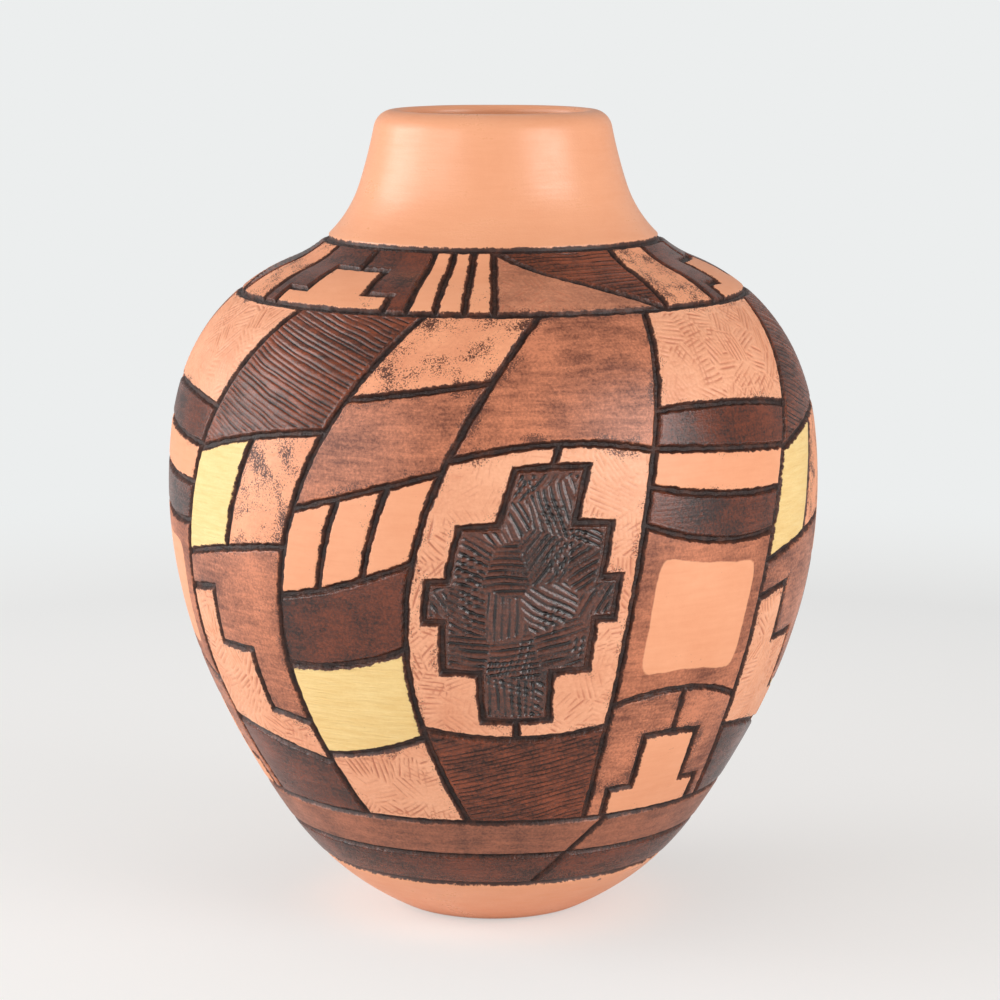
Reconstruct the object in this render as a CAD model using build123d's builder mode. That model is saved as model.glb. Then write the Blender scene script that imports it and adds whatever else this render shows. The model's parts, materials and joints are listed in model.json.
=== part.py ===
"""A pueblo pottery jar, coil built, with a carved and stained band from its shoulder to its foot.

The jar stands on z = 0 with its axis on Z, and its front looks along -Y. All lengths are in millimetres
and all angles in degrees. The wall is followed by its outer line, from the edge of the foot to the top of
the lip. A station is a length along that line, and a bearing is an angle round the axis, from +X.
"""
from build123d import *
from math import cos, radians, sin
import os

os.makedirs("parts", exist_ok=True)

# The outer line of the wall: the flat foot, then arcs that run smoothly one into the next.
# Each has its radius, and the direction of travel at its end: 0 is outwards, 90 is up and 180 is inwards.
foot_radius = 30.0
heel_radius = 12.0
heel_end = 26.8
bowl_radius = 101.0
bowl_end = 56.0
lower_wall_radius = 291.6
lower_wall_end = 66.9
belly_radius = 170.4
belly_end = 97.25
upper_wall_radius = 81.7
upper_wall_end = 113.7
shoulder_radius = 64.75
shoulder_end = 158.3
throat_radius = 41.73
throat_end = 107.9
neck_radius = 172.9
neck_end = 101.2
lip_radius = 7.1
lip_end = 180.0

# The clay. The shoulder course ends a little way up the throat, and the rim coil takes the last of the line
wall_thickness = 8.5
scarf_length = 6.0
base_top = 37.5
rise_up_throat = 15.8
rim_coil_width = 7.4
course_top_shares = (0.292, 0.582, 0.794)

# The carving
carve_depth = 1.3
groove_width = 2.3
stripe_width = 16.5
border_width = 35.0
panel_count = 3
first_bearing = -152.0
stripe_cut_bearing = -70.0
stripe_cut_lean = 32.0
knife_reach = 30.0
straight_bow = 0.08

wall_bends = [
    (heel_radius, heel_end),
    (bowl_radius, bowl_end),
    (lower_wall_radius, lower_wall_end),
    (belly_radius, belly_end),
    (upper_wall_radius, upper_wall_end),
    (shoulder_radius, shoulder_end),
    (throat_radius, throat_end),
    (neck_radius, neck_end),
    (lip_radius, lip_end),
]


def follow_wall():
    """Lay the arcs end to end. Each gets its stations, directions, signed radius and centre."""
    arcs = []
    radius, height, station, direction = foot_radius, 0, 0, 0
    for bend_radius, end_direction in wall_bends:
        swell = bend_radius if end_direction > direction else -bend_radius
        centre_radius = radius - swell * sin(radians(direction))
        centre_height = height + swell * cos(radians(direction))
        end_station = station + bend_radius * radians(abs(end_direction - direction))
        arcs.append((station, end_station, direction, end_direction, swell, centre_radius, centre_height))
        station, direction = end_station, end_direction
        radius = centre_radius + swell * sin(radians(direction))
        height = centre_height - swell * cos(radians(direction))
    return arcs


wall_arcs = follow_wall()
lip_start, lip_top = wall_arcs[-1][:2]
throat_start = wall_arcs[-3][0]

# The stations where the courses end. The carving runs from the base to the top of the shoulder course
shoulder_course_top = throat_start + rise_up_throat
neck_course_top = lip_top - rim_coil_width
lower_course_top, belly_course_top, upper_course_top = [
    base_top + share * (shoulder_course_top - base_top) for share in course_top_shares
]
panel_angle = 360 / panel_count
band_start = base_top + groove_width / 2
band_end = shoulder_course_top - groove_width / 2
main_start = band_start + 2 * stripe_width
main_end = band_end - border_width


def wall_place(station, depth):
    """The radius, height and direction of travel at a station, at a depth below the outer surface."""
    for arc in wall_arcs:
        if station <= arc[1]:
            break
    start, end, from_direction, to_direction, swell, centre_radius, centre_height = arc
    direction = from_direction + (to_direction - from_direction) * (station - start) / (end - start)
    reach = swell - depth
    turn = radians(direction)
    return centre_radius + reach * sin(turn), centre_height - reach * cos(turn), direction


def wall_point(station, depth):
    """A point of the wall's section: radius and height."""
    return wall_place(station, depth)[:2]


def wall_line(start, end, depth):
    """Draw the wall's line between two stations at a depth, one arc for each bend that it crosses."""
    for arc in wall_arcs:
        low, high = max(start, arc[0]), min(end, arc[1])
        if high > low:
            ThreePointArc(
                wall_point(low, depth),
                wall_point((low + high) / 2, depth),
                wall_point(high, depth),
            )


def scarf(station, outer_depth):
    """Draw the slanted joint between two courses, with the step up to an uncarved surface beside it."""
    if outer_depth < carve_depth:
        Line(wall_point(station, outer_depth), wall_point(station, carve_depth))
    Line(wall_point(station, carve_depth), wall_point(station - scarf_length, wall_thickness))


def clay_course(start, end, outer_depth):
    """One broad ring of clay between two scarfed joints."""
    with BuildPart() as course:
        with BuildSketch(Plane.XZ):
            with BuildLine():
                wall_line(start, end, outer_depth)
                scarf(end, outer_depth)
                wall_line(start - scarf_length, end - scarf_length, wall_thickness)
                scarf(start, outer_depth)
            make_face()
        revolve(axis=Axis.Z)
    return course


# The bottom of the jar, pressed in a shallow mould, with the flat that it stands on
with BuildPart() as puki_base:
    with BuildSketch(Plane.XZ):
        with BuildLine():
            Line((0, 0), wall_point(0, 0))
            wall_line(0, base_top, 0)
            scarf(base_top, 0)
            wall_line(0, base_top - scarf_length, wall_thickness)
            Line(wall_point(0, wall_thickness), (0, wall_thickness))
            Line((0, wall_thickness), (0, 0))
        make_face()
    revolve(axis=Axis.Z)
puki_base.part.label = "puki_base"
export_step(puki_base.part, "parts/puki_base.step")

# The courses of the wall, each laid on the one below. Under the carving they end at the groove floor
for course_name, course_start, course_end, course_depth in (
    ("lower_course", base_top, lower_course_top, carve_depth),
    ("belly_course", lower_course_top, belly_course_top, carve_depth),
    ("upper_course", belly_course_top, upper_course_top, carve_depth),
    ("shoulder_course", upper_course_top, shoulder_course_top, carve_depth),
    ("neck_course", shoulder_course_top, neck_course_top, 0),
):
    clay = clay_course(course_start, course_end, course_depth)
    clay.part.label = course_name
    export_step(clay.part, f"parts/{course_name}.step")

# The last roll of clay, rounded over into the lip. Its inner round takes up what the outer one leaves
lip_lean = cos(radians(neck_end))
inner_lip_radius = (wall_thickness - lip_radius * (1 + lip_lean)) / (1 - lip_lean)
lip_top_radius, lip_height = wall_point(lip_top, 0)
inner_lip_turn = radians((lip_end + neck_end) / 2 + 90)
with BuildPart() as rim_coil:
    with BuildSketch(Plane.XZ):
        with BuildLine():
            wall_line(neck_course_top, lip_top, 0)
            ThreePointArc(
                (lip_top_radius, lip_height),
                (
                    lip_top_radius + inner_lip_radius * sin(inner_lip_turn),
                    lip_height - inner_lip_radius * (1 + cos(inner_lip_turn)),
                ),
                wall_point(lip_start, wall_thickness),
            )
            wall_line(neck_course_top - scarf_length, lip_start, wall_thickness)
            scarf(neck_course_top, 0)
        make_face()
    revolve(axis=Axis.Z)
rim_coil.part.label = "rim_coil"
export_step(rim_coil.part, "parts/rim_coil.step")

# The carved fields. A bay runs up the main band between two sweeps. A sweep is given by its shares of a
# panel's angle at the foot, middle and top of the main band. Cuts cross the bay, each given by its shares
# of the main band's height at the bay's left side, middle and right side. The space between two
# cuts is a block, which holds one pattern, and each field of a pattern has a finish.
sweep_shares = [
    (0.00, -0.03, 0.14),
    (0.26, 0.20, 0.40),
    (0.47, 0.40, 0.60),
    (0.70, 0.72, 0.80),
    (1.00, 0.97, 1.14),
]

# The patterns, each a list of field outlines in shares of the block's width and height
whole_shares = [[(0, 0), (1, 0), (1, 1), (0, 1)]]
halves_shares = [
    [(0, 0), (1 / 2, 0), (1 / 2, 1), (0, 1)],
    [(1 / 2, 0), (1, 0), (1, 1), (1 / 2, 1)],
]
upright_bar_shares = [
    [(0, 0), (1 / 3, 0), (1 / 3, 1), (0, 1)],
    [(1 / 3, 0), (2 / 3, 0), (2 / 3, 1), (1 / 3, 1)],
    [(2 / 3, 0), (1, 0), (1, 1), (2 / 3, 1)],
]
level_bar_shares = [
    [(0, 0), (1, 0), (1, 1 / 3), (0, 1 / 3)],
    [(0, 1 / 3), (1, 1 / 3), (1, 2 / 3), (0, 2 / 3)],
    [(0, 2 / 3), (1, 2 / 3), (1, 1), (0, 1)],
]
step_shares = [
    [(0, 0), (1, 0), (1, 1 / 5), (2 / 3, 1 / 5), (2 / 3, 1 / 2), (1 / 3, 1 / 2), (1 / 3, 4 / 5), (0, 4 / 5)],
    [(1, 1), (0, 1), (0, 4 / 5), (1 / 3, 4 / 5), (1 / 3, 1 / 2), (2 / 3, 1 / 2), (2 / 3, 1 / 5), (1, 1 / 5)],
]
terrace_shares = [
    [(1 / 8, 0), (7 / 8, 0), (7 / 8, 1 / 4), (5 / 7, 1 / 4), (5 / 7, 2 / 3), (2 / 7, 2 / 3), (2 / 7, 1 / 4),
     (1 / 8, 1 / 4)],
    [(0, 0), (1 / 8, 0), (1 / 8, 1 / 4), (2 / 7, 1 / 4), (2 / 7, 2 / 3), (1 / 2, 2 / 3), (1 / 2, 1), (0, 1)],
    [(1, 0), (1, 1), (1 / 2, 1), (1 / 2, 2 / 3), (5 / 7, 2 / 3), (5 / 7, 1 / 4), (7 / 8, 1 / 4), (7 / 8, 0)],
]
lozenge_half_shares = [
    (1 / 2, 1 / 14), (2 / 3, 1 / 14), (2 / 3, 1 / 4), (5 / 6, 1 / 4), (5 / 6, 3 / 7), (11 / 12, 3 / 7),
]
lozenge_right_shares = lozenge_half_shares + [(x, 1 - y) for x, y in reversed(lozenge_half_shares)]
lozenge_left_shares = [(1 - x, y) for x, y in reversed(lozenge_right_shares)]
lozenge_shares = [
    lozenge_right_shares[1:-1] + lozenge_left_shares[1:-1],
    [(1, 0), (1, 1), (1 / 2, 1)] + lozenge_right_shares[::-1] + [(1 / 2, 0)],
    [(0, 1), (0, 0), (1 / 2, 0)] + lozenge_left_shares[::-1] + [(1 / 2, 1)],
]
corner_shares = [
    [(0, 0), (1, 0), (0, 1)],
    [(1, 0), (1, 1), (0, 1)],
]

# Each bay: its cuts from the foot up, then the pattern and finishes of each block between them
bay_plans = [
    (
        [(0, 0, 0), (0.17, 0.15, 0.12), (0.50, 0.53, 0.55), (0.70, 0.74, 0.76), (1, 1, 1)],
        [
            (whole_shares, ["dark"]),
            (step_shares, ["hatched", "brown"]),
            (halves_shares, ["yellow", "stippled"]),
            (whole_shares, ["combed"]),
        ],
    ),
    (
        [(0, 0, 0), (0.14, 0.16, 0.20), (0.33, 0.34, 0.38), (0.46, 0.49, 0.54), (0.62, 0.66, 0.70),
         (0.82, 0.84, 0.86), (1, 1, 1)],
        [
            (whole_shares, ["hatched"]),
            (whole_shares, ["yellow"]),
            (whole_shares, ["dark"]),
            (upright_bar_shares, ["plain", "plain", "plain"]),
            (whole_shares, ["brown"]),
            (whole_shares, ["stippled"]),
        ],
    ),
    (
        [(0, 0, 0), (0.22, 0.20, 0.22), (0.72, 0.75, 0.73), (1, 1, 1)],
        [
            (whole_shares, ["combed"]),
            (lozenge_shares, ["glossy", "hatched", "hatched"]),
            (whole_shares, ["brown"]),
        ],
    ),
    (
        [(0, 0, 0), (0.26, 0.28, 0.24), (0.60, 0.56, 0.56), (0.80, 0.80, 0.78), (1, 1, 1)],
        [
            (terrace_shares, ["plain", "brown", "brown"]),
            (whole_shares, ["plain"]),
            (level_bar_shares, ["dark", "plain", "dark"]),
            (whole_shares, ["hatched"]),
        ],
    ),
]

# The border on the shoulder: each block's side shares of a panel's angle, its pattern and finishes
border_plan = [
    (0.00, 0.36, terrace_shares, ["plain", "dark", "dark"]),
    (0.36, 0.52, upright_bar_shares, ["plain", "plain", "plain"]),
    (0.52, 0.86, corner_shares, ["hatched", "combed"]),
    (0.86, 1.00, whole_shares, ["stippled"]),
]


def through(values, share):
    """The value at a share of the way along a parabola through a first, a middle and a last value."""
    first, middle, last = values
    return first + share * (4 * middle - 3 * first - last) + 2 * share * share * (first - 2 * middle + last)


def bay_place(left_sweep, right_sweep, low_cut, high_cut):
    """Give the function that turns shares of a block in a bay into a bearing and a station."""

    def place(across, up):
        low, high = through(low_cut, across), through(high_cut, across)
        rise = low + up * (high - low)
        left, right = through(left_sweep, rise), through(right_sweep, rise)
        along = left + across * (right - left)
        return first_bearing + along * panel_angle, main_start + rise * (main_end - main_start)

    return place


def border_place(left, right):
    """Give the function that turns shares of a border block into a bearing and a station."""

    def place(across, up):
        along = left + across * (right - left)
        return first_bearing + along * panel_angle, main_end + up * (band_end - main_end)

    return place


def surface_point(bearing, station):
    """A point of the jar's outer surface."""
    radius, height = wall_point(station, 0)
    return Vector(radius * cos(radians(bearing)), radius * sin(radians(bearing)), height)


def surface_plane(bearing, station):
    """The plane that touches the outer surface at a point, with its X level and its Z outwards."""
    direction = radians(wall_place(station, 0)[2])
    turn = radians(bearing)
    return Plane(
        origin=surface_point(bearing, station),
        x_dir=(-sin(turn), cos(turn), 0),
        z_dir=(sin(direction) * cos(turn), sin(direction) * sin(turn), -cos(direction)),
    )


def axial_plane(bearing):
    """The upright plane through the axis at a bearing, with its X outwards and its Y up."""
    turn = radians(bearing)
    return Plane(origin=(0, 0, 0), x_dir=(cos(turn), sin(turn), 0), z_dir=(sin(turn), -cos(turn), 0))


def relief_outline(start, end):
    """Draw round the clay between the groove floor and the outer surface, from one station to another."""
    wall_line(start, end, 0)
    Line(wall_point(end, 0), wall_point(end, carve_depth))
    wall_line(start, end, carve_depth)
    Line(wall_point(start, carve_depth), wall_point(start, 0))


def inward(tangent):
    """The unit vector to the left of a direction: inwards, on an outline that runs anticlockwise."""
    return Vector(-tangent.Y, tangent.X).normalized()


def draw_field_outline(edges):
    """Draw a field half a groove inside its edges, each given by its first, middle and last point."""
    corners = []
    middles = []
    for before, edge in zip(edges[-1:] + edges[:-1], edges):
        arriving = inward(before[0] - before[1] * 4 + before[2] * 3)
        leaving = inward(edge[1] * 4 - edge[0] * 3 - edge[2])
        corners.append(edge[0] + (arriving + leaving) * (groove_width / 2 / (1 + arriving.dot(leaving))))
        middles.append(edge[1] + inward(edge[2] - edge[0]) * (groove_width / 2))
    for first, middle, last in zip(corners, middles, corners[1:] + corners[:1]):
        if (middle - (first + last) / 2).length < straight_bow:
            Line(first, last)
        else:
            ThreePointArc(first, middle, last)


def carved_field(place, corners):
    """One field that is left standing. Its corners are shares of its block, at the grooves' middles."""
    edges = []
    for first, last in zip(corners, corners[1:] + corners[:1]):
        middle = ((first[0] + last[0]) / 2, (first[1] + last[1]) / 2)
        edges.append([place(*first), place(*middle), place(*last)])
    bearings = [point[0] for edge in edges for point in edge]
    stations = [point[1] for edge in edges for point in edge]
    touch = surface_plane(sum(bearings) / len(bearings), sum(stations) / len(stations))
    flat_edges = []
    for edge in edges:
        flat_points = [touch.to_local_coords(surface_point(*point)) for point in edge]
        flat_edges.append([Vector(point.X, point.Y) for point in flat_points])
    with BuildPart() as field:
        with BuildSketch(axial_plane(min(bearings))):
            with BuildLine():
                relief_outline(min(stations), max(stations))
            make_face()
        revolve(axis=Axis.Z, revolution_arc=max(bearings) - min(bearings))
        with BuildSketch(touch):
            with BuildLine():
                draw_field_outline(flat_edges)
            make_face()
        extrude(amount=knife_reach, both=True, mode=Mode.INTERSECT)
    return field.part


finished_fields = {}
for bay, (cuts, blocks) in enumerate(bay_plans):
    for block, (pattern, finishes) in enumerate(blocks):
        block_place = bay_place(sweep_shares[bay], sweep_shares[bay + 1], cuts[block], cuts[block + 1])
        for outline, finish in zip(pattern, finishes):
            finished_fields.setdefault(f"{finish}_fields", []).append(carved_field(block_place, outline))
for left_share, right_share, pattern, finishes in border_plan:
    block_place = border_place(left_share, right_share)
    for outline, finish in zip(pattern, finishes):
        finished_fields.setdefault(f"border_{finish}", []).append(carved_field(block_place, outline))

# Every panel repeats the same fields, and the fields of one finish make one group
for group_name, panel_fields in finished_fields.items():
    with BuildPart() as group:
        with PolarLocations(0, panel_count):
            add(panel_fields)
    group.part.label = group_name
    export_step(group.part, f"parts/{group_name}.step")

# The two stripes above the foot, each a raised ring cut across by slanted grooves
for stripe, stripe_name in enumerate(("lower_stripe", "upper_stripe")):
    stripe_start = band_start + stripe * stripe_width + groove_width / 2
    stripe_end = band_start + (stripe + 1) * stripe_width - groove_width / 2
    with BuildPart() as ring:
        with BuildSketch(Plane.XZ):
            with BuildLine():
                relief_outline(stripe_start, stripe_end)
            make_face()
        revolve(axis=Axis.Z)
        for panel in range(panel_count):
            cut_bearing = stripe_cut_bearing + panel * panel_angle
            with BuildSketch(surface_plane(cut_bearing, band_start + stripe_width)):
                Rectangle(groove_width, 2 * knife_reach, rotation=-stripe_cut_lean)
            extrude(amount=knife_reach, both=True, mode=Mode.SUBTRACT)
    ring.part.label = stripe_name
    export_step(ring.part, f"parts/{stripe_name}.step")
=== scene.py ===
"""The looks of a coil-built pueblo pottery jar with a carved and stained band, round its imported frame."""
import json
import logging
import math
from collections.abc import Callable, Sequence
from dataclasses import dataclass, field
from enum import Enum
from functools import cached_property

import bmesh
import bpy
import numpy as np
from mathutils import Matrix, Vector

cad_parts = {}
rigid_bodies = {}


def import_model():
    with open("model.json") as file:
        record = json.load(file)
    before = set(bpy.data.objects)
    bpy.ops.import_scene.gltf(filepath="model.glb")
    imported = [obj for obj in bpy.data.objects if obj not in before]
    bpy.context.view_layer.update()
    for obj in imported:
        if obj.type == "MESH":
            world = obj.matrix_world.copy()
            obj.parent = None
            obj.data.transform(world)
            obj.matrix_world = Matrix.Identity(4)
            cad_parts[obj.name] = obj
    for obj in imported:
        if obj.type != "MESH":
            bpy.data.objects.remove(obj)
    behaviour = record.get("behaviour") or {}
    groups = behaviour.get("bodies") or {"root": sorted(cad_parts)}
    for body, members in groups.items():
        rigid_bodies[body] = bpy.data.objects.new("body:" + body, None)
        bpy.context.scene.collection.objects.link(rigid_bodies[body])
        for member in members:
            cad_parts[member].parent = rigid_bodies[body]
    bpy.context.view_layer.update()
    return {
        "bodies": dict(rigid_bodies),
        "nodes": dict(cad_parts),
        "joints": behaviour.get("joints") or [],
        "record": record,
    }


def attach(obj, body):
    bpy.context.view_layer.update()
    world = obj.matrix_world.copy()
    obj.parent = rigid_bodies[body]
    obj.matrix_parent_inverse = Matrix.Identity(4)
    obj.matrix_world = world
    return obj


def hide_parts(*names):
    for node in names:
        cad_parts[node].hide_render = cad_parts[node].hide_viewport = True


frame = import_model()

MM = 0.001
FULL_TURN = 2 * math.pi
Pair = tuple[float, float]
Triple = tuple[float, float, float]
Colour = tuple[float, float, float, float]
Place = Callable[[float, float], Pair]
log = logging.getLogger("jar")

# The numbers that scatter a lattice's cells: one for each way to go, and one to spread the waves.
SCATTER = (127.1, 311.7, 74.7)
SCATTER_SPREAD = 43758.5453


def srgb(red: int, green: int, blue: int) -> Colour:
    """Turn a colour as it is seen on a screen into the linear colour that a shader takes.

    Args:
        red: Red, from 0 to 255.
        green: Green, from 0 to 255.
        blue: Blue, from 0 to 255.

    Returns:
        The linear colour, opaque.
    """
    shares = [value / 255 for value in (red, green, blue)]
    return tuple(s / 12.92 if s <= 0.04045 else ((s + 0.055) / 1.055) ** 2.4 for s in shares) + (1.0,)


def smooth(low: float, high: float, value: np.ndarray) -> np.ndarray:
    """Rise smoothly from 0 at low to 1 at high.

    Args:
        low: Where the rise starts.
        high: Where the rise ends.
        value: Where to read it.

    Returns:
        The share risen at each value.
    """
    share = np.clip((value - low) / (high - low), 0, 1)
    return share * share * (3 - 2 * share)


def lattice(column: np.ndarray, row: np.ndarray | float, seed: float) -> np.ndarray:
    """Give each cell of a lattice its own steady number from 0 to 1.

    Args:
        column: The cell's column.
        row: The cell's row.
        seed: Which set of numbers to use.

    Returns:
        One number for each cell.
    """
    by_column, by_row, by_seed = SCATTER
    wave = np.sin(column * by_column + row * by_row + seed * by_seed) * SCATTER_SPREAD
    return wave - np.floor(wave)


def ripple(x: np.ndarray, y: np.ndarray, seed: float) -> np.ndarray:
    """Smooth noise from 0 to 1 over a plane, with lumps one unit apart.

    Args:
        x: Across.
        y: Up.
        seed: Which pattern to use.

    Returns:
        The noise at each point.
    """
    column, row = np.floor(x), np.floor(y)
    across, up = x - column, y - row
    across, up = across * across * (3 - 2 * across), up * up * (3 - 2 * up)
    low = lattice(column, row, seed) * (1 - across) + lattice(column + 1, row, seed) * across
    high = lattice(column, row + 1, seed) * (1 - across) + lattice(column + 1, row + 1, seed) * across
    return low * (1 - up) + high * up


def through(values: Triple, share: float) -> float:
    """Follow a parabola through a first, a middle and a last value.

    Args:
        values: The three values.
        share: How far along to read it.

    Returns:
        The value there.
    """
    first, middle, last = values
    return first + share * (4 * middle - 3 * first - last) + 2 * share * share * (first - 2 * middle + last)


def inward(tangent: np.ndarray) -> np.ndarray:
    """Give the unit vector to the left of a direction: inwards, on an outline that runs anticlockwise."""
    return np.array((-tangent[1], tangent[0])) / math.hypot(*tangent)


@dataclass(frozen=True)
class Hollow:
    """One size of the slight hollows that scraping and polishing by hand leave in the wall.

    Attributes:
        depth: How deep they go, in millimetres.
        around: How closely they lie round the jar.
        height: How tall they are, in millimetres.
        shift: How far their pattern is moved.
        seed: Which pattern they use.
    """

    depth: float
    around: float
    height: float
    shift: float
    seed: float

    def read(self, bearing: np.ndarray, station: np.ndarray) -> np.ndarray:
        """Give the depth of these hollows.

        Args:
            bearing: Angles round the axis, in radians.
            station: Lengths along the wall.

        Returns:
            The depth at each point.
        """
        east = np.cos(bearing) * self.around + self.shift
        north = np.sin(bearing) * self.around + station / self.height
        return self.depth * ripple(east, north, self.seed)


@dataclass(frozen=True)
class WallLine:
    """The outer line of the jar's wall: the flat foot, then arcs that run smoothly one into the next.

    Lengths are in millimetres. A station is a length along the line from the edge of the foot, and is
    less than zero on the flat. Directions of travel are in degrees: 0 outwards, 90 up and 180 inwards.

    Attributes:
        foot_radius: The radius of the flat foot.
        bends: The radius of each arc, and the direction in which it ends.
        thickness: The wall's thickness.
        carve_depth: How far the grooves' floor lies below the surface.
        groove: The width of a groove.
        base_top: The station where the base ends and the carving starts.
        rise_up_throat: How far up the throat the carving ends.
        stripe: The width of each stripe near the foot.
        border: The width of the border on the shoulder.
        hollows: The slight hollows left by hand.
        settling: How far above the foot the hollows reach their full depth.
        lip_fade: How far up the lip they fade.
        lip_evenness: What share of them fades there.
    """

    foot_radius: float = 30.0
    bends: tuple[Pair, ...] = (
        (12.0, 26.8),
        (101.0, 56.0),
        (291.6, 66.9),
        (170.4, 97.25),
        (81.7, 113.7),
        (64.75, 158.3),
        (41.73, 107.9),
        (172.9, 101.2),
        (7.1, 180.0),
    )
    thickness: float = 8.5
    carve_depth: float = 1.3
    groove: float = 2.3
    base_top: float = 37.5
    rise_up_throat: float = 15.8
    stripe: float = 16.5
    border: float = 35.0
    hollows: tuple[Hollow, ...] = (Hollow(0.26, 1.7, 48.0, 9.0, 3.0), Hollow(0.10, 4.1, 17.0, 5.0, 8.0))
    settling: float = 16.0
    lip_fade: float = 8.0
    lip_evenness: float = 0.6

    @property
    def shoulder_top(self) -> float:
        """Where the shoulder course and its carving end, a little way up the throat."""
        return float(self.arcs[-4, 0]) + self.rise_up_throat

    @property
    def band_start(self) -> float:
        """The middle of the groove below the carved band."""
        return self.base_top + self.groove / 2

    @property
    def band_end(self) -> float:
        """The middle of the groove above the carved band."""
        return self.shoulder_top - self.groove / 2

    @property
    def main_start(self) -> float:
        """Where the main band starts, above the two stripes."""
        return self.band_start + 2 * self.stripe

    @property
    def main_end(self) -> float:
        """Where the main band ends, below the border."""
        return self.band_end - self.border

    @cached_property
    def all_bends(self) -> tuple[Pair, ...]:
        """The bends, with the inner round of the lip that takes up what the outer one leaves."""
        lean = math.cos(math.radians(self.bends[-2][1]))
        inner_lip = (self.thickness - self.bends[-1][0] * (1 + lean)) / (1 - lean)
        return self.bends + ((inner_lip, self.bends[-2][1] + 180.0),)

    @cached_property
    def arcs(self) -> np.ndarray:
        """Work out the arcs.

        Returns:
            One row for each: start and end station, start and end direction, swell, and centre.
        """
        rows = []
        radius, height, station, direction = self.foot_radius, 0.0, 0.0, 0.0
        for bend_radius, end in self.all_bends:
            swell = bend_radius if end > direction else -bend_radius
            centre_radius = radius - swell * math.sin(math.radians(direction))
            centre_height = height + swell * math.cos(math.radians(direction))
            length = bend_radius * math.radians(abs(end - direction))
            rows.append((station, station + length, direction, end, swell, centre_radius, centre_height))
            station, direction = station + length, end
            radius = centre_radius + swell * math.sin(math.radians(direction))
            height = centre_height - swell * math.cos(math.radians(direction))
        return np.array(rows)

    @property
    def lip_start(self) -> float:
        """The station where the lip's outer round starts."""
        return float(self.arcs[-2, 0])

    @property
    def lip_end(self) -> float:
        """The station where the lip's inner round ends, inside the mouth."""
        return float(self.arcs[-1, 1])

    def place(self, station: np.ndarray, depth: np.ndarray) -> tuple[np.ndarray, np.ndarray]:
        """Find points of the wall's section.

        Args:
            station: Lengths along the outer line.
            depth: Depths below it.

        Returns:
            The radius and the height of each point.
        """
        arcs = self.arcs
        which = np.clip(np.searchsorted(arcs[:, 1], station), 0, len(arcs) - 1)
        start, end, first, last, swell, centre_radius, centre_height = arcs[which].T
        turn = np.radians(first + (last - first) * (station - start) / (end - start))
        reach = swell - depth
        radius = centre_radius + reach * np.sin(turn)
        height = centre_height - reach * np.cos(turn)
        flat = station < 0
        return np.where(flat, self.foot_radius + station, radius), np.where(flat, depth, height)

    def unevenness(self, bearing: np.ndarray, station: np.ndarray) -> np.ndarray:
        """The slight hollows of a wall scraped and polished by hand, as a depth below the true line.

        Args:
            bearing: Angles round the axis, in radians.
            station: Lengths along the wall.

        Returns:
            The depth at each point.
        """
        at_lip = smooth(self.lip_start, self.lip_start + self.lip_fade, station)
        settled = smooth(0, self.settling, station) * (1 - at_lip * self.lip_evenness)
        return settled * sum(hollow.read(bearing, station) for hollow in self.hollows)


WALL = WallLine()


@dataclass(frozen=True)
class Chart:
    """A sheet laid on the jar's surface, with x along the parallels and y the station, in millimetres.

    Attributes:
        centre: The bearing of the sheet's middle, in degrees.
        radius: The radius that it keeps to, or None to follow the wall's own at each station.
    """

    centre: float
    radius: float | None = None

    def flat(self, bearing: float, station: float) -> Pair:
        """Lay one point of the surface flat.

        Args:
            bearing: The point's angle round the axis, in degrees.
            station: The point's station.

        Returns:
            Its place on the sheet.
        """
        reach = self.radius or float(WALL.place(np.array([station]), np.zeros(1))[0][0])
        return math.radians(bearing - self.centre) * reach, station

    def bearing(self, x: np.ndarray, y: np.ndarray) -> np.ndarray:
        """Give the angle round the axis, in radians, of places on the sheet."""
        reach = self.radius or WALL.place(y, np.zeros_like(y))[0]
        return math.radians(self.centre) + x / reach


class Stroke(Enum):
    """How the clay of a field was worked."""

    SMOOTH = "smooth"
    HATCHED = "hatched"
    CROSSED = "crossed"
    COMBED = "combed"
    PITTED = "pitted"


# How lines vary: the length and height of their sway, and how far apart two lines read their swing.
SWAY = (9.0, 6.0)
LINE_SPACING = (7.3, 3.1)
# A line's strength: the least where it fades, the usual, how far it swings, and what breaks add to that.
FAINTEST, USUAL, SWING, BROKEN_SWING = 0.2, 0.4, 0.9, 1.3
# The four ways that strokes run, in half turns: the first, the step to the next, and the spread of each.
# A patch's number from 0 to 1 picks one of the four, and its number shuffled picks a place in the spread.
FIRST_WAY, WAY_STEP, WAY_SPREAD = 0.12, 0.31, 0.3
JUST_UNDER_FOUR = 3.999
SHUFFLE = 17.3
# The strokes that cross the others: their angle from these, the patches that they lie in and their strength.
CROSSING_ANGLE = 1.15
CROSSING_PATCH = 9.0
CROSSING_LIMITS = (0.5, 0.75)
CROSSING_ADDED, CROSSING_BESIDE = 0.6, 0.8
DEEPEST_CROSSING = 1.3
# The patches in which a stroked field is worn, and the margin that parts two patches of strokes.
WORN_PATCH = 12.0
WORN_LIMITS = (0.25, 0.7)
PATCH_MARGIN = 0.15
# The pits of a stippled field.
PIT_SPACING = 1.1
PIT_LIMITS = (0.66, 0.95)


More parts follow.
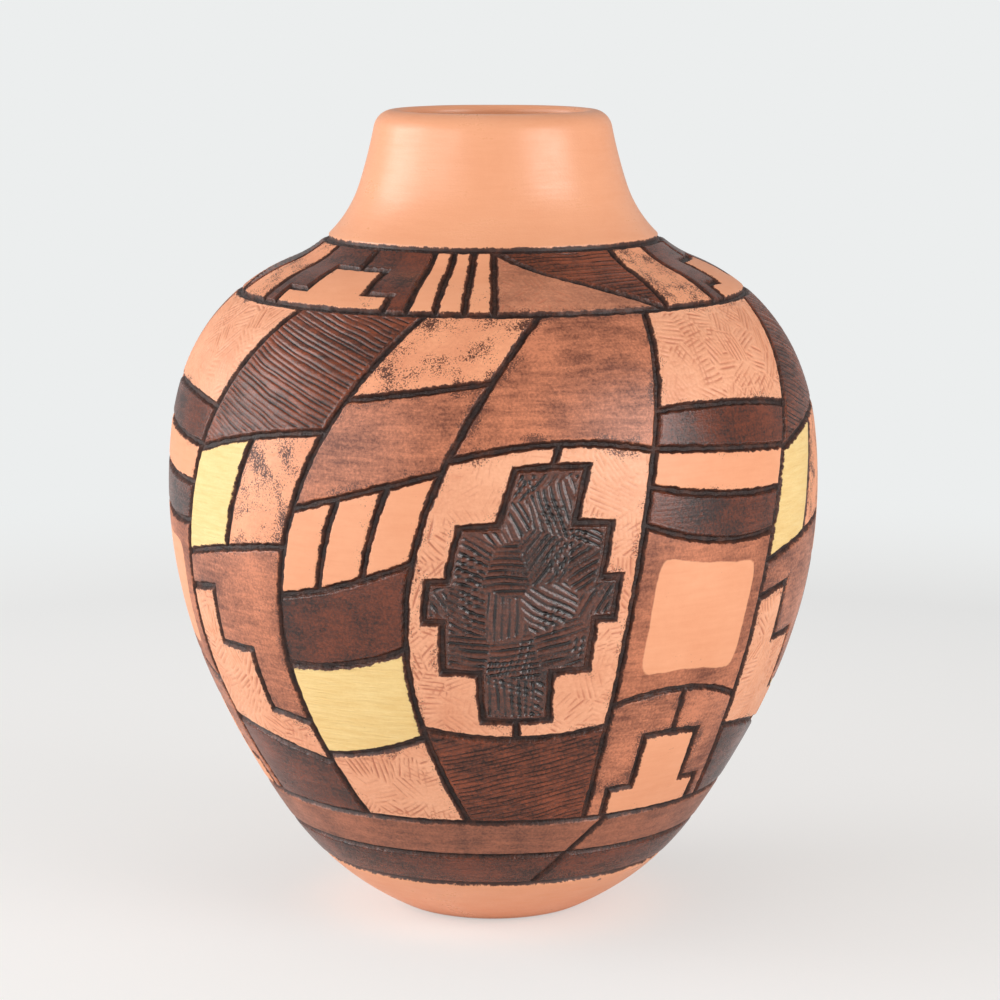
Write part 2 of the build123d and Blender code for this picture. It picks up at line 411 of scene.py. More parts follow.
@dataclass(frozen=True)
class Working:
    """The cuts that work one kind of field, and how fine a mesh they need. Lengths are in millimetres.

    Attributes:
        stroke: The form of the cuts.
        grid: How far apart the points of the mesh lie.
        depth: How deep the cuts go.
        pitch: How far apart the lines lie.
        patch: The size of the patches in which the lines run one way.
        width: Half a line's width, in pitches.
        waver: How far the lines sway, in pitches.
        jitter: How unevenly they are spaced, in pitches.
        length: The length over which a line fades and comes back.
        breaks: How much the lines break up.
        sunk: How far the whole field lies below the others.
    """

    stroke: Stroke
    grid: float
    depth: float = 0.0
    pitch: float = 2.0
    patch: float = 9.0
    width: float = 0.3
    waver: float = 0.5
    jitter: float = 0.25
    length: float = 5.5
    breaks: float = 0.0
    sunk: float = 0.0

    def patches(self, x: np.ndarray, y: np.ndarray, seed: float) -> tuple[np.ndarray, np.ndarray]:
        """Divide a field into the patches in which the strokes run one way.

        Args:
            x: Across, on the chart.
            y: Up, on the chart.
            seed: Which pattern to use.

        Returns:
            A number from 0 to 1 for each point's patch, and how far the point is inside the patch.
        """
        column, row = np.floor(x / self.patch), np.floor(y / self.patch)
        spread = 1 - 2 * PATCH_MARGIN
        nearest = np.full_like(x, np.inf)
        second = np.full_like(x, np.inf)
        name = np.zeros_like(x)
        for across in (-1, 0, 1):
            for up in (-1, 0, 1):
                cell_x, cell_y = column + across, row + up
                seed_x = (cell_x + PATCH_MARGIN + spread * lattice(cell_x, cell_y, seed)) * self.patch
                seed_y = (cell_y + PATCH_MARGIN + spread * lattice(cell_x, cell_y, seed + 1)) * self.patch
                distance = np.hypot(x - seed_x, y - seed_y)
                closer = distance < nearest
                second = np.where(closer, nearest, np.minimum(second, distance))
                name = np.where(closer, lattice(cell_x, cell_y, seed + 2), name)
                nearest = np.where(closer, distance, nearest)
        return name, second - nearest

    def lines(self, x: np.ndarray, y: np.ndarray, angle: np.ndarray, seed: float) -> np.ndarray:
        """Cut rows of narrow lines that waver and fade, as a knife's point leaves them.

        Args:
            x: Across, on the chart.
            y: Up, on the chart.
            angle: The way that the lines run, in radians.
            seed: Which pattern to use.

        Returns:
            The share of the full depth at each point.
        """
        along = x * np.cos(angle) + y * np.sin(angle)
        over = y * np.cos(angle) - x * np.sin(angle)
        over = over + self.waver * self.pitch * (ripple(along / SWAY[0], over / SWAY[1], seed) - 0.5)
        count = np.floor(over / self.pitch)
        share = over / self.pitch - count
        middle = 0.5 + self.jitter * (lattice(count, 3.0, seed + 9) - 0.5)
        narrow = np.clip(1 - np.abs(share - middle) / self.width, 0, 1)
        swing = ripple(along / self.length + count * LINE_SPACING[0], count * LINE_SPACING[1], seed + 4)
        strength = USUAL - self.breaks + (SWING + BROKEN_SWING * self.breaks) * swing
        return smooth(0, 1, narrow) * np.clip(strength, max(0.0, FAINTEST - self.breaks), 1)

    def cuts(self, x: np.ndarray, y: np.ndarray, lean: float, seed: float) -> np.ndarray:
        """Work a field.

        Args:
            x: Across, on the chart.
            y: Up, on the chart.
            lean: The way that the field's bay runs, in radians.
            seed: Which pattern to use.

        Returns:
            The share of the full depth that is cut away at each point.
        """
        if self.stroke is Stroke.SMOOTH:
            return np.zeros_like(x)
        if self.stroke is Stroke.PITTED:
            return smooth(*PIT_LIMITS, ripple(x / PIT_SPACING, y / PIT_SPACING, seed))
        if self.stroke is Stroke.COMBED:
            return self.lines(x, y, np.full_like(x, lean), seed)
        name, inside = self.patches(x, y, seed)
        way = np.floor(name * JUST_UNDER_FOUR)
        angle = math.pi * (FIRST_WAY + WAY_STEP * way + WAY_SPREAD * (name * SHUFFLE % 1))
        cut = self.lines(x, y, angle, seed)
        crossed = smooth(*CROSSING_LIMITS, ripple(x / CROSSING_PATCH, y / CROSSING_PATCH, seed + 2))
        across = self.lines(x, y, angle + CROSSING_ANGLE, seed + 6) * crossed
        if self.stroke is Stroke.CROSSED:
            cut = np.clip(cut + across * CROSSING_ADDED, 0, DEEPEST_CROSSING)
        else:
            worn = smooth(*WORN_LIMITS, ripple(x / WORN_PATCH, y / WORN_PATCH, seed + 5))
            cut = np.maximum(cut, across * CROSSING_BESIDE) * (0.5 + 0.5 * worn)
        return cut * (0.5 + 0.5 * smooth(0, 1, inside))


class Tree:
    """Places the nodes of one shader tree and joins them."""

    def __init__(self, tree: bpy.types.NodeTree) -> None:
        """Keep the tree and clear it."""
        self.tree = tree
        tree.nodes.clear()

    def add(self, kind: str, inputs: dict | None = None, **settings: object) -> bpy.types.Node:
        """Add a node, with its settings, and fill its inputs.

        Args:
            kind: The node's type, without the word that they all start with.
            inputs: What goes into each input, by name or number: a value, or the socket that feeds it.
            settings: The node's own settings.

        Returns:
            The new node.
        """
        node = self.tree.nodes.new(f"ShaderNode{kind}")
        for name, value in settings.items():
            setattr(node, name, value)
        for name, value in (inputs or {}).items():
            self.feed(node.inputs[name], value)
        return node

    def feed(self, socket: bpy.types.NodeSocket, value: object) -> None:
        """Fill an input.

        Args:
            socket: The input.
            value: The socket that feeds it, or the input's own value.
        """
        if isinstance(value, bpy.types.NodeSocket):
            self.tree.links.new(value, socket)
        else:
            socket.default_value = value

    def maths(self, operation: str, *values: object) -> bpy.types.NodeSocket:
        """Add a sum of one or more values and give its result."""
        return self.add("Math", dict(enumerate(values)), operation=operation).outputs[0]

    def swing(self, value: object, amount: object) -> bpy.types.NodeSocket:
        """Give how far a noise is from its middle, times an amount."""
        return self.maths("MULTIPLY", self.maths("SUBTRACT", value, 0.5), amount)

    def noise(
        self, vector: object, scale: float, detail: float = 2.0, roughness: float = 0.5
    ) -> bpy.types.NodeSocket:
        """Add a noise.

        Args:
            vector: Where to read it.
            scale: How many lumps it has to the metre.
            detail: How many finer layers it has.
            roughness: How strong those are.

        Returns:
            The socket of its value, with 0.5 in the middle.
        """
        sizes = {"Vector": vector, "Scale": scale, "Detail": detail, "Roughness": roughness}
        return self.add("TexNoise", sizes).outputs["Fac"]

    def value(self, name: str) -> bpy.types.NodeSocket:
        """Read one of the piece's own attributes."""
        return self.add("Attribute", attribute_name=name).outputs["Fac"]

    def blend(self, share: object, first: object, second: object) -> bpy.types.NodeSocket:
        """Mix two colours.

        Args:
            share: How much of the second colour to take.
            first: The first colour.
            second: The second colour.

        Returns:
            The mixed colour's socket.
        """
        # The sockets go by number, because the node has several of each name.
        node = self.add("Mix", data_type="RGBA", blend_type="MIX", clamp_factor=True)
        for number, value in ((0, share), (6, first), (7, second)):
            self.feed(node.inputs[number], value)
        return node.outputs[2]

    def step(self, value: object, low: object, high: object) -> bpy.types.NodeSocket:
        """Rise smoothly from 0 to 1 between two values and give the result."""
        limits = {"Value": value, "From Min": low, "From Max": high}
        return self.add("MapRange", limits, interpolation_type="SMOOTHSTEP").outputs[0]


# The groove stain's colours: the upper wall's, and the floor's, which is darker as painted shade.
GROOVE_WALL, GROOVE_FLOOR_SHADE = srgb(128, 70, 46), srgb(40, 18, 11)
GROOVE_ROUGHNESS = 0.5
BROWN_PALE, BROWN_DEEP = srgb(208, 128, 92), srgb(118, 64, 44)


class SharedEffects:
    """The node groups that more than one finish uses.

    An edge's distance is in millimetres, and a noise's scale is in lumps to the metre.
    """

    def __init__(self) -> None:
        """Build each group once."""
        self.mottle = self._mottle()
        self.groove_stain = self._groove_stain()
        self.specks = self._specks()
        self.tool_marks = self._tool_marks()

    @staticmethod
    def _group(name: str, inputs: Sequence[tuple[str, str]], outputs: Sequence[tuple[str, str]]) -> tuple:
        """Start a node group.

        Args:
            name: The group's name.
            inputs: The name and socket type of each input.
            outputs: The name and socket type of each output.

        Returns:
            The group, its tree helper, and its input and output nodes.
        """
        group = bpy.data.node_groups.new(name, "ShaderNodeTree")
        tree = Tree(group)
        for side, sockets in (("INPUT", inputs), ("OUTPUT", outputs)):
            for label, kind in sockets:
                group.interface.new_socket(name=label, in_out=side, socket_type=f"NodeSocket{kind}")
        entry = group.nodes.new("NodeGroupInput")
        leave = group.nodes.new("NodeGroupOutput")
        return group, tree, entry, leave

    def _mottle(self) -> bpy.types.NodeTree:
        """Make clouds of two sizes and level streaks, between a pale and a deep colour.

        Returns:
            The group.
        """
        group, tree, entry, leave = self._group(
            "slip_mottle",
            [("Vector", "Vector"), ("Pale", "Color"), ("Deep", "Color")]
            + [(label, "Float") for label in ("Cloud", "Streak", "Grain")],
            [("Color", "Color"), ("Mask", "Float")],
        )
        here = entry.outputs["Vector"]
        level = tree.add("Mapping", {"Vector": here, "Scale": (1.0, 1.0, 9.0)}).outputs[0]
        layers = {
            "Cloud": tree.noise(here, 42.0, detail=5.0, roughness=0.65),
            "Streak": tree.noise(level, 70.0, detail=4.0, roughness=0.7),
            "Grain": tree.noise(here, 1100.0, detail=2.5, roughness=0.7),
        }
        mask = 0.5
        for label, layer in layers.items():
            mask = tree.maths("ADD", mask, tree.swing(layer, entry.outputs[label]))
        tree.feed(leave.inputs["Mask"], mask)
        tree.feed(leave.inputs["Color"], tree.blend(mask, entry.outputs["Pale"], entry.outputs["Deep"]))
        return group

    def _groove_stain(self) -> bpy.types.NodeTree:
        """Make the dark stain of the grooves, which creeps raggedly over a field's edge, with painted shade
        that darkens it from the groove's upper wall down to its floor.

        Returns:
            The group.
        """
        group, tree, entry, leave = self._group(
            "groove_stain",
            [("Vector", "Vector"), ("Edge", "Float"), ("Surface", "Color"), ("Creep", "Float")],
            [("Color", "Color"), ("Mask", "Float")],
        )
        here, near, creep = (entry.outputs[label] for label in ("Vector", "Edge", "Creep"))
        fine = tree.noise(here, 720.0, detail=3.0, roughness=0.75)
        broad = tree.noise(here, 210.0)
        ragged, wander, softness = 1.5, 0.7, 0.14
        worn_limits, thin_limits, lit_wall_limits = (0.35, 0.7), (0.4, 0.7), (-0.6, 0.35)
        lit_wall_paleness, thin_paleness, worn_paleness, least_paleness = 0.55, 0.35, 0.75, 0.35
        strayed = tree.maths("ADD", tree.swing(fine, ragged), tree.swing(broad, wander))
        edge = tree.maths("ADD", near, strayed)
        inside = tree.step(edge, tree.maths("SUBTRACT", creep, softness), tree.maths("ADD", creep, softness))
        mask = tree.maths("SUBTRACT", 1.0, inside)
        worn = tree.maths("MULTIPLY", tree.step(fine, *worn_limits), worn_paleness)
        thin = tree.maths("MULTIPLY", tree.step(broad, *thin_limits), thin_paleness)
        # Painted shade: the stain is paler high on the groove's wall and darkest down on its floor.
        upper = tree.maths("MULTIPLY", tree.step(near, *lit_wall_limits), lit_wall_paleness)
        share = tree.maths("ADD", upper, thin)
        pale = tree.maths("MULTIPLY", share, tree.maths("ADD", worn, least_paleness))
        stain = tree.blend(pale, GROOVE_FLOOR_SHADE, GROOVE_WALL)
        tree.feed(leave.inputs["Mask"], mask)
        tree.feed(leave.inputs["Color"], tree.blend(mask, entry.outputs["Surface"], stain))
        return group

    def _specks(self) -> bpy.types.NodeTree:
        """Make dark specks dabbed on in loose clusters.

        Returns:
            The group.
        """
        group, tree, entry, leave = self._group(
            "dabbed_specks",
            [("Vector", "Vector"), ("Amount", "Float")],
            [("Mask", "Float")],
        )
        here = entry.outputs["Vector"]
        cluster = tree.noise(here, 110.0, detail=3.0)
        fine = tree.noise(here, 1850.0, detail=2.5, roughness=0.7)
        clustering, highest, softness = 0.85, 0.82, 0.09
        total = tree.maths("ADD", fine, tree.swing(cluster, clustering))
        limit = tree.maths("SUBTRACT", highest, entry.outputs["Amount"])
        tree.feed(leave.inputs["Mask"], tree.step(total, limit, tree.maths("ADD", limit, softness)))
        return group

    def _tool_marks(self) -> bpy.types.NodeTree:
        """Make the fine height that scraping and polishing leave: level lines, grain, and burrs at the edge.

        Returns:
            The group.
        """
        group, tree, entry, leave = self._group(
            "tool_marks",
            [("Vector", "Vector")] + [(label, "Float") for label in ("Lines", "Grain", "Edge", "Burr")],
            [("Height", "Float")],
        )
        here = entry.outputs["Vector"]
        burr_limits = (0.1, 1.1)
        level = tree.add("Mapping", {"Vector": here, "Scale": (1.0, 1.0, 14.0)}).outputs[0]
        layers = {
            "Grain": tree.noise(here, 1300.0, detail=3.0, roughness=0.6),
            "Lines": tree.noise(level, 70.0, detail=4.0, roughness=0.6),
        }
        crumbs = tree.noise(here, 900.0, detail=2.5)
        rim = tree.maths("SUBTRACT", 1.0, tree.step(entry.outputs["Edge"], *burr_limits))
        height = tree.maths("MULTIPLY", tree.maths("MULTIPLY", crumbs, rim), entry.outputs["Burr"])
        for label, layer in layers.items():
            height = tree.maths("ADD", tree.maths("MULTIPLY", layer, entry.outputs[label]), height)
        tree.feed(leave.inputs["Height"], height)
        return group


# Where the halo of specks and the painted shade of the cuts start and end, and how a frame's paint strays,
# all in the units of the piece's attributes. The nicks and the marks' height are in metres.
HALO = (0.4, 5.0)
FRAME_WANDER, FRAME_SOFTNESS = 1.6, 0.3
CUT_SHADE = (0.15, 0.95)
NICK_SIZE, NICK_WANDER = 0.0009, 0.0022
BUMP_HEIGHT = 0.0003


@dataclass(frozen=True)
class ClayFinish:
    """One finish of the jar: its two clay or slip colours, its gloss, and how it was worked.

    Attributes:
        name: The name of its material.
        pale: The colour where it lies thin.
        deep: The colour where it lies thick.
        rough: How dull it is.
        rough_swing: How far the dullness follows the clouds.
        cloud: The strength of the broad clouds.
        streak: The strength of the level streaks.
        speckle: The strength of the fine grain in the colour.
        specks: How many dark specks are dabbed all over it.
        halo: How many more there are near its edge.
        speck_colour: The colour of the specks and nicks.
        cut_shade_colour: The darker colour painted into its cuts as shade, where that is another.
        creep: How far the grooves' stain comes over its edge, in millimetres.
        lines: The height of its polishing lines.
        grain: The height of its grain.
        burr: The height of the burrs at its edge.
        bump: The strength of these three together.
        specular: How much light it throws back.
        framed: How strong the brown paint of a field's frame is on it.
        nicks: The places of small dark nicks, in metres.
        takes: The record's slot, where that has another name than the finish.
        working: How its clay was cut.
    """

    name: str
    pale: Colour
    deep: Colour
    rough: float
    rough_swing: float = 0.1
    cloud: float = 1.0
    streak: float = 0.6
    speckle: float = 0.3
    specks: float = 0.0
    halo: float = 0.0
    speck_colour: Colour = field(default=srgb(104, 60, 44))
    cut_shade_colour: Colour | None = None
    creep: float = 0.34
    lines: float = 0.5
    grain: float = 0.35
    burr: float = 1.8
    bump: float = 0.35
    specular: float = 0.5
    framed: float = 0.0
    nicks: tuple[Triple, ...] = ()
    takes: str = ""
    working: Working = Working(Stroke.SMOOTH, 1.4)

    @property
    def slot(self) -> str:
        """The record's slot that the finish stands for."""
        return self.takes or self.name

    def material(self, effects: SharedEffects) -> bpy.types.Material:
        """Build the finish's material, which reads the piece's edge, cut and frame attributes.

        Args:
            effects: The shared node groups.

        Returns:
            The material.
        """
        material = bpy.data.materials.new(self.name)
        material.use_nodes = True
        tree = Tree(material.node_tree)
        place = tree.add("TexCoord").outputs["Object"]
        edge = tree.value("edge")
        mottle = self._use(
            tree, effects.mottle, Vector=place, Pale=self.pale, Deep=self.deep,
            Cloud=self.cloud, Streak=self.streak, Grain=self.speckle,
        )
        colour = self._marked(tree, effects, place, edge, mottle["Color"])
        stained = self._use(
            tree, effects.groove_stain, Vector=place, Edge=edge, Surface=colour, Creep=self.creep
        )
        duller = tree.maths("MULTIPLY", stained["Mask"], GROOVE_ROUGHNESS - self.rough)
        roughness = tree.maths("ADD", duller, self.rough)
        marks = self._use(
            tree, effects.tool_marks, Vector=place, Edge=edge,
            Lines=self.lines, Grain=self.grain, Burr=self.burr,
        )
        bump = tree.add("Bump", {"Strength": self.bump, "Distance": BUMP_HEIGHT, "Height": marks["Height"]})
        shader = tree.add(
            "BsdfPrincipled",
            {
                "Base Color": stained["Color"],
                "Roughness": tree.maths("ADD", roughness, tree.swing(mottle["Mask"], self.rough_swing)),
                "Normal": bump.outputs["Normal"],
                "Specular IOR Level": self.specular,
            },
        )
        output = tree.add("OutputMaterial", {"Surface": shader.outputs["BSDF"]})
        material.node_tree.nodes.active = output
        return material

    def _marked(
        self, tree: Tree, effects: SharedEffects, place: object, edge: object, colour: object
    ) -> bpy.types.NodeSocket:
        """Lay what marks the surface over its own colour: a frame, specks, nicks and the painted shade of the
        cuts.

        Args:
            tree: The material's tree.
            effects: The shared node groups.
            place: The point in the object.
            edge: How far the point is inside the field's edge.
            colour: The surface's own colour.

        Returns:
            The marked colour.
        """
        if self.framed:
            colour = self._painted_frame(tree, effects, place, colour)
        if self.specks or self.halo:
            outer = tree.maths("SUBTRACT", 1.0, tree.step(edge, *HALO))
            amount = tree.maths("ADD", tree.maths("MULTIPLY", outer, self.halo), self.specks)
            specks = self._use(tree, effects.specks, Vector=place, Amount=amount)
            colour = tree.blend(specks["Mask"], colour, self.speck_colour)
        for nick in self.nicks:
            away = tree.add("VectorMath", {0: place, 1: nick}, operation="DISTANCE").outputs["Value"]
            strayed = tree.maths("ADD", away, tree.swing(tree.noise(place, 900.0), NICK_WANDER))
            colour = tree.blend(tree.step(strayed, NICK_SIZE, NICK_SIZE / 2), colour, self.speck_colour)
        # Painted shade: the deeper a cut, the more it takes the darker cut colour.
        if self.cut_shade_colour:
            colour = tree.blend(tree.step(tree.value("cut"), *CUT_SHADE), colour, self.cut_shade_colour)
        return colour

    def _painted_frame(
        self, tree: Tree, effects: SharedEffects, place: object, colour: object
    ) -> bpy.types.NodeSocket:
        """Brush a brown border inside the edge of the fields that have one.

        Args:
            tree: The material's tree.
            effects: The shared node groups.
            place: The point in the object.
            colour: The colour under the border.

        Returns:
            The colour with the border.
        """
        wander = tree.swing(tree.noise(place, 120.0, detail=5.0, roughness=0.65), FRAME_WANDER)
        reach = tree.maths("ADD", tree.value("frame"), wander)
        bare = tree.step(reach, -FRAME_SOFTNESS, FRAME_SOFTNESS)
        painted = tree.maths("MULTIPLY", tree.maths("SUBTRACT", 1.0, bare), self.framed)
        brown = self._use(
            tree, effects.mottle, Vector=place, Pale=BROWN_PALE, Deep=BROWN_DEEP,
            Cloud=2.2, Streak=1.4, Grain=1.4,
        )
        return tree.blend(painted, colour, brown["Color"])

    @staticmethod
    def _use(tree: Tree, group: bpy.types.NodeTree, **inputs: object) -> bpy.types.NodeOutputs:
        """Place a shared group in the material with its own values.

        Args:
            tree: The material's tree.
            group: The group.
            inputs: What goes into each of its inputs.

        Returns:
            The group's outputs, by name.
        """
        return tree.add("Group", inputs, node_tree=group).outputs


class Finish(Enum):
    """The finishes of the jar's pieces. Each has the record's slot that it takes in its own values."""

    POLISHED = ClayFinish(
        "polished_clay", srgb(243, 171, 130), srgb(230, 152, 110), 0.46,
        cloud=1.1, streak=0.9, halo=0.14, specular=0.4, framed=1.0,
    )
    BURNISHED = ClayFinish(
        "burnished_wall", srgb(245, 174, 132), srgb(234, 156, 113), 0.34,
        rough_swing=0.35, streak=0.8, creep=0.2, grain=0.5, burr=1.0, specular=0.65,
        nicks=((0.0368, -0.0467, 0.0182), (0.0155, -0.0535, 0.2485)), takes="polished_clay",
    )
    HATCHED = ClayFinish(
        "hatched_clay", srgb(249, 182, 143), srgb(222, 146, 108), 0.46,
        cloud=1.7, speckle=0.9, halo=0.24, cut_shade_colour=srgb(196, 120, 88), bump=0.6, framed=0.75,
        working=Working(
            Stroke.HATCHED, 0.45, depth=0.46, pitch=1.7, width=0.42, waver=0.9, length=3.2, breaks=0.35,
        ),
    )
    STIPPLED = ClayFinish(
        "stippled_clay", srgb(249, 172, 128), srgb(220, 140, 102), 0.5,
        cloud=1.5, speckle=1.0, specks=0.28, speck_colour=srgb(86, 46, 32), bump=0.6,
        working=Working(Stroke.PITTED, 0.6, depth=0.2),
    )
    BROWN = ClayFinish(
        "brown_stain", BROWN_PALE, BROWN_DEEP, 0.40,
        cloud=2.4, streak=1.6, speckle=1.7, specks=0.10, halo=0.2, creep=0.2, bump=0.5,
    )
    STRIPE = ClayFinish(
        "stripe_stain", srgb(176, 106, 76), srgb(92, 52, 38), 0.38,
        cloud=2.0, streak=1.2, speckle=1.4, halo=0.1, creep=0.1, bump=0.5, takes="brown_stain",
    )
    DARK = ClayFinish(
        "dark_stain", srgb(118, 56, 33), srgb(36, 16, 10), 0.26,
        cloud=2.8, streak=1.2, speckle=2.2, halo=0.2, speck_colour=srgb(48, 28, 22), creep=0.05, bump=0.9,
        working=Working(Stroke.SMOOTH, 1.2),
    )
    COMBED = ClayFinish(
        "combed_stain", srgb(140, 70, 43), srgb(52, 24, 14), 0.28,
        cloud=2.4, streak=1.6, speckle=2.0, cut_shade_colour=srgb(24, 12, 8), creep=0.05, bump=0.9, specular=0.42,
        working=Working(Stroke.COMBED, 0.38, depth=0.52, pitch=1.85, jitter=0.4),
    )
    GLOSSY = ClayFinish(
        "glossy_hatching", srgb(112, 58, 38), srgb(42, 20, 13), 0.15,
        cloud=1.8, speckle=2.2, cut_shade_colour=srgb(14, 7, 5), creep=0.05, grain=0.6, bump=1.0, specular=0.75,
        working=Working(
            Stroke.CROSSED, 0.40, depth=0.8, pitch=2.3, patch=15.0, width=0.44, waver=0.8, sunk=0.3,
        ),
    )
    YELLOW = ClayFinish(
        "yellow_slip", srgb(248, 215, 147), srgb(234, 193, 121), 0.52,
        cloud=0.9, streak=2.0, speckle=0.5, specks=0.03, speck_colour=srgb(150, 110, 70), lines=2.2, bump=0.9,
    )
    GROOVE = ClayFinish(
        "carved_groove", srgb(226, 154, 118), srgb(196, 126, 94), 0.6,
        cloud=1.2, streak=1.2, speckle=0.8, lines=2.4, grain=0.9, bump=0.9,
    )

    @property
    def clay(self) -> ClayFinish:
        """The finish itself."""
        return self.value


# The ways to divide a block into fields. A corner is its share of the block's width and of its height.
WHOLE = (((0, 0), (1, 0), (1, 1), (0, 1)),)
HALVES = (
    ((0, 0), (1 / 2, 0), (1 / 2, 1), (0, 1)),
    ((1 / 2, 0), (1, 0), (1, 1), (1 / 2, 1)),
)
UPRIGHT_BARS = tuple(((n / 3, 0), ((n + 1) / 3, 0), ((n + 1) / 3, 1), (n / 3, 1)) for n in range(3))
LEVEL_BARS = tuple(((0, n / 3), (1, n / 3), (1, (n + 1) / 3), (0, (n + 1) / 3)) for n in range(3))
STEPS = (
    ((0, 0), (1, 0), (1, 1 / 5), (2 / 3, 1 / 5), (2 / 3, 1 / 2), (1 / 3, 1 / 2), (1 / 3, 4 / 5), (0, 4 / 5)),
    ((1, 1), (0, 1), (0, 4 / 5), (1 / 3, 4 / 5), (1 / 3, 1 / 2), (2 / 3, 1 / 2), (2 / 3, 1 / 5), (1, 1 / 5)),
)
TERRACE_LEFT = ((1 / 8, 0), (1 / 8, 1 / 4), (2 / 7, 1 / 4), (2 / 7, 2 / 3))
TERRACE_RIGHT = ((7 / 8, 0), (7 / 8, 1 / 4), (5 / 7, 1 / 4), (5 / 7, 2 / 3))
TERRACE = (
    TERRACE_LEFT[:1] + TERRACE_RIGHT + TERRACE_LEFT[:0:-1],
    ((0, 0),) + TERRACE_LEFT + ((1 / 2, 2 / 3), (1 / 2, 1), (0, 1)),
    ((1, 0), (1, 1), (1 / 2, 1), (1 / 2, 2 / 3)) + TERRACE_RIGHT[::-1],
)
LOZENGE_QUARTER = (
    (1 / 2, 1 / 14), (2 / 3, 1 / 14), (2 / 3, 1 / 4), (5 / 6, 1 / 4), (5 / 6, 3 / 7), (11 / 12, 3 / 7),
)
LOZENGE_RIGHT = LOZENGE_QUARTER + tuple((x, 1 - y) for x, y in reversed(LOZENGE_QUARTER))
LOZENGE_LEFT = tuple((1 - x, y) for x, y in reversed(LOZENGE_RIGHT))
LOZENGE = (
    LOZENGE_RIGHT[1:-1] + LOZENGE_LEFT[1:-1],
    ((1, 0), (1, 1), (1 / 2, 1)) + LOZENGE_RIGHT[::-1] + ((1 / 2, 0),),
    ((0, 1), (0, 0), (1 / 2, 0)) + LOZENGE_LEFT[::-1] + ((1 / 2, 1),),
)
CORNERS = (((0, 0), (1, 0), (0, 1)), ((1, 0), (1, 1), (0, 1)))

# Each row of a field's or a course's edge: how far inside the grooves it lies, and how deep.
EDGE_ROWS = (
    (-0.72, 1.75),
    (-0.62, 1.30),
    (-0.38, 1.08),
    (-0.10, 0.74),
    (0.10, 0.42),
    (0.30, 0.19),
    (0.55, 0.06),
    (0.90, 0.0),
)
EDGE_REACH = EDGE_ROWS[-1][0]
OUTLINE_SPACING = 0.75
# How an edge strays: the size of its lumps, how far its two patterns lie apart, and where it settles.
RAGGED_LUMP = 1.9
RAGGED_SHIFT = 40
RAGGED_LIMITS = (0.3, 1.5)
# How far inside the edge a field's cuts reach their full depth, and its sunk top is reached.
CUT_LIMITS = (0.25, 1.3)
SUNK_LIMITS = (0.3, 2.4)
# A field's painted frame: what stands for no frame, for paint all over, and how round its corners are.
NO_FRAME = 9.0
WHOLE_WASH = 99.0
FRAME_ROUNDING = 2.6
FRAME_SIDE_POINTS = 25
# How near two of a mesh's points count as one, and the digits that tell a strip's rows and columns apart.
SAME_PLACE = 1e-4
STRIP_DIGITS = 6


def read_points(mesh: bpy.types.Mesh) -> np.ndarray:
    """Read a mesh's points.

    Args:
        mesh: The mesh.

    Returns:
        One row for each point.
    """
    points = np.empty(len(mesh.vertices) * 3, dtype=np.float32)
    mesh.vertices.foreach_get("co", points)
    return points.reshape(-1, 3).astype(float)


def read_values(mesh: bpy.types.Mesh, name: str) -> np.ndarray:
    """Read one number for each point of a mesh.

    Args:
        mesh: The mesh.
        name: The attribute's name.

    Returns:
        The numbers.
    """
    values = np.empty(len(mesh.vertices), dtype=np.float32)
    mesh.attributes[name].data.foreach_get("value", values)
    return values.astype(float)


def write_points(mesh: bpy.types.Mesh, bearing: np.ndarray, station: np.ndarray, depth: np.ndarray) -> None:
    """Set a mesh's points by their places on the jar's wall.

    Args:
        mesh: The mesh.
        bearing: Each point's angle round the axis, in radians.
        station: Its station.
        depth: Its depth below the wall's outer line, before the hand-made unevenness.
    """
    radius, height = WALL.place(station, depth + WALL.unevenness(bearing, station))
    places = np.stack((radius * np.cos(bearing), radius * np.sin(bearing), height), axis=1) * MM
    mesh.vertices.foreach_set("co", places.astype(np.float32).ravel())


def write_values(mesh: bpy.types.Mesh, name: str, values: np.ndarray) -> None:
    """Set one number at each point of a mesh, for its material to read.

    Args:
        mesh: The mesh.
        name: The attribute's name.
        values: The numbers.
    """
    layer = mesh.attributes.get(name) or mesh.attributes.new(name, "FLOAT", "POINT")
    layer.data.foreach_set("value", values.astype(np.float32))


def distance_from(points: np.ndarray, outline: np.ndarray) -> np.ndarray:
    """Measure how far points are from a closed outline.

    Args:
        points: The points.
        outline: The outline's points in order.

    Returns:
        The distance of each point.
    """
    start = outline[None, :, :]
    run = np.roll(outline, -1, axis=0)[None, :, :] - start
    offset = points[:, None, :] - start
    share = np.clip((offset * run).sum(axis=2) / np.maximum((run * run).sum(axis=2), 1e-9), 0, 1)
    return np.sqrt((((offset - share[:, :, None] * run) ** 2).sum(axis=2)).min(axis=1))


def stray(values: np.ndarray, x: np.ndarray, y: np.ndarray, loose: np.ndarray, seed: float) -> np.ndarray:
    """Let the edge of a piece stray raggedly, as a knife leaves it.

    Args:
        values: The points' places in the direction in which they stray.
        x: Where to read the raggedness, across, in lumps.
        y: The same, up.
        loose: How far each point may stray.
        seed: Which pattern to use.

    Returns:
        The moved places.
    """
    return values + loose * (ripple(x, y, seed) - 0.5)


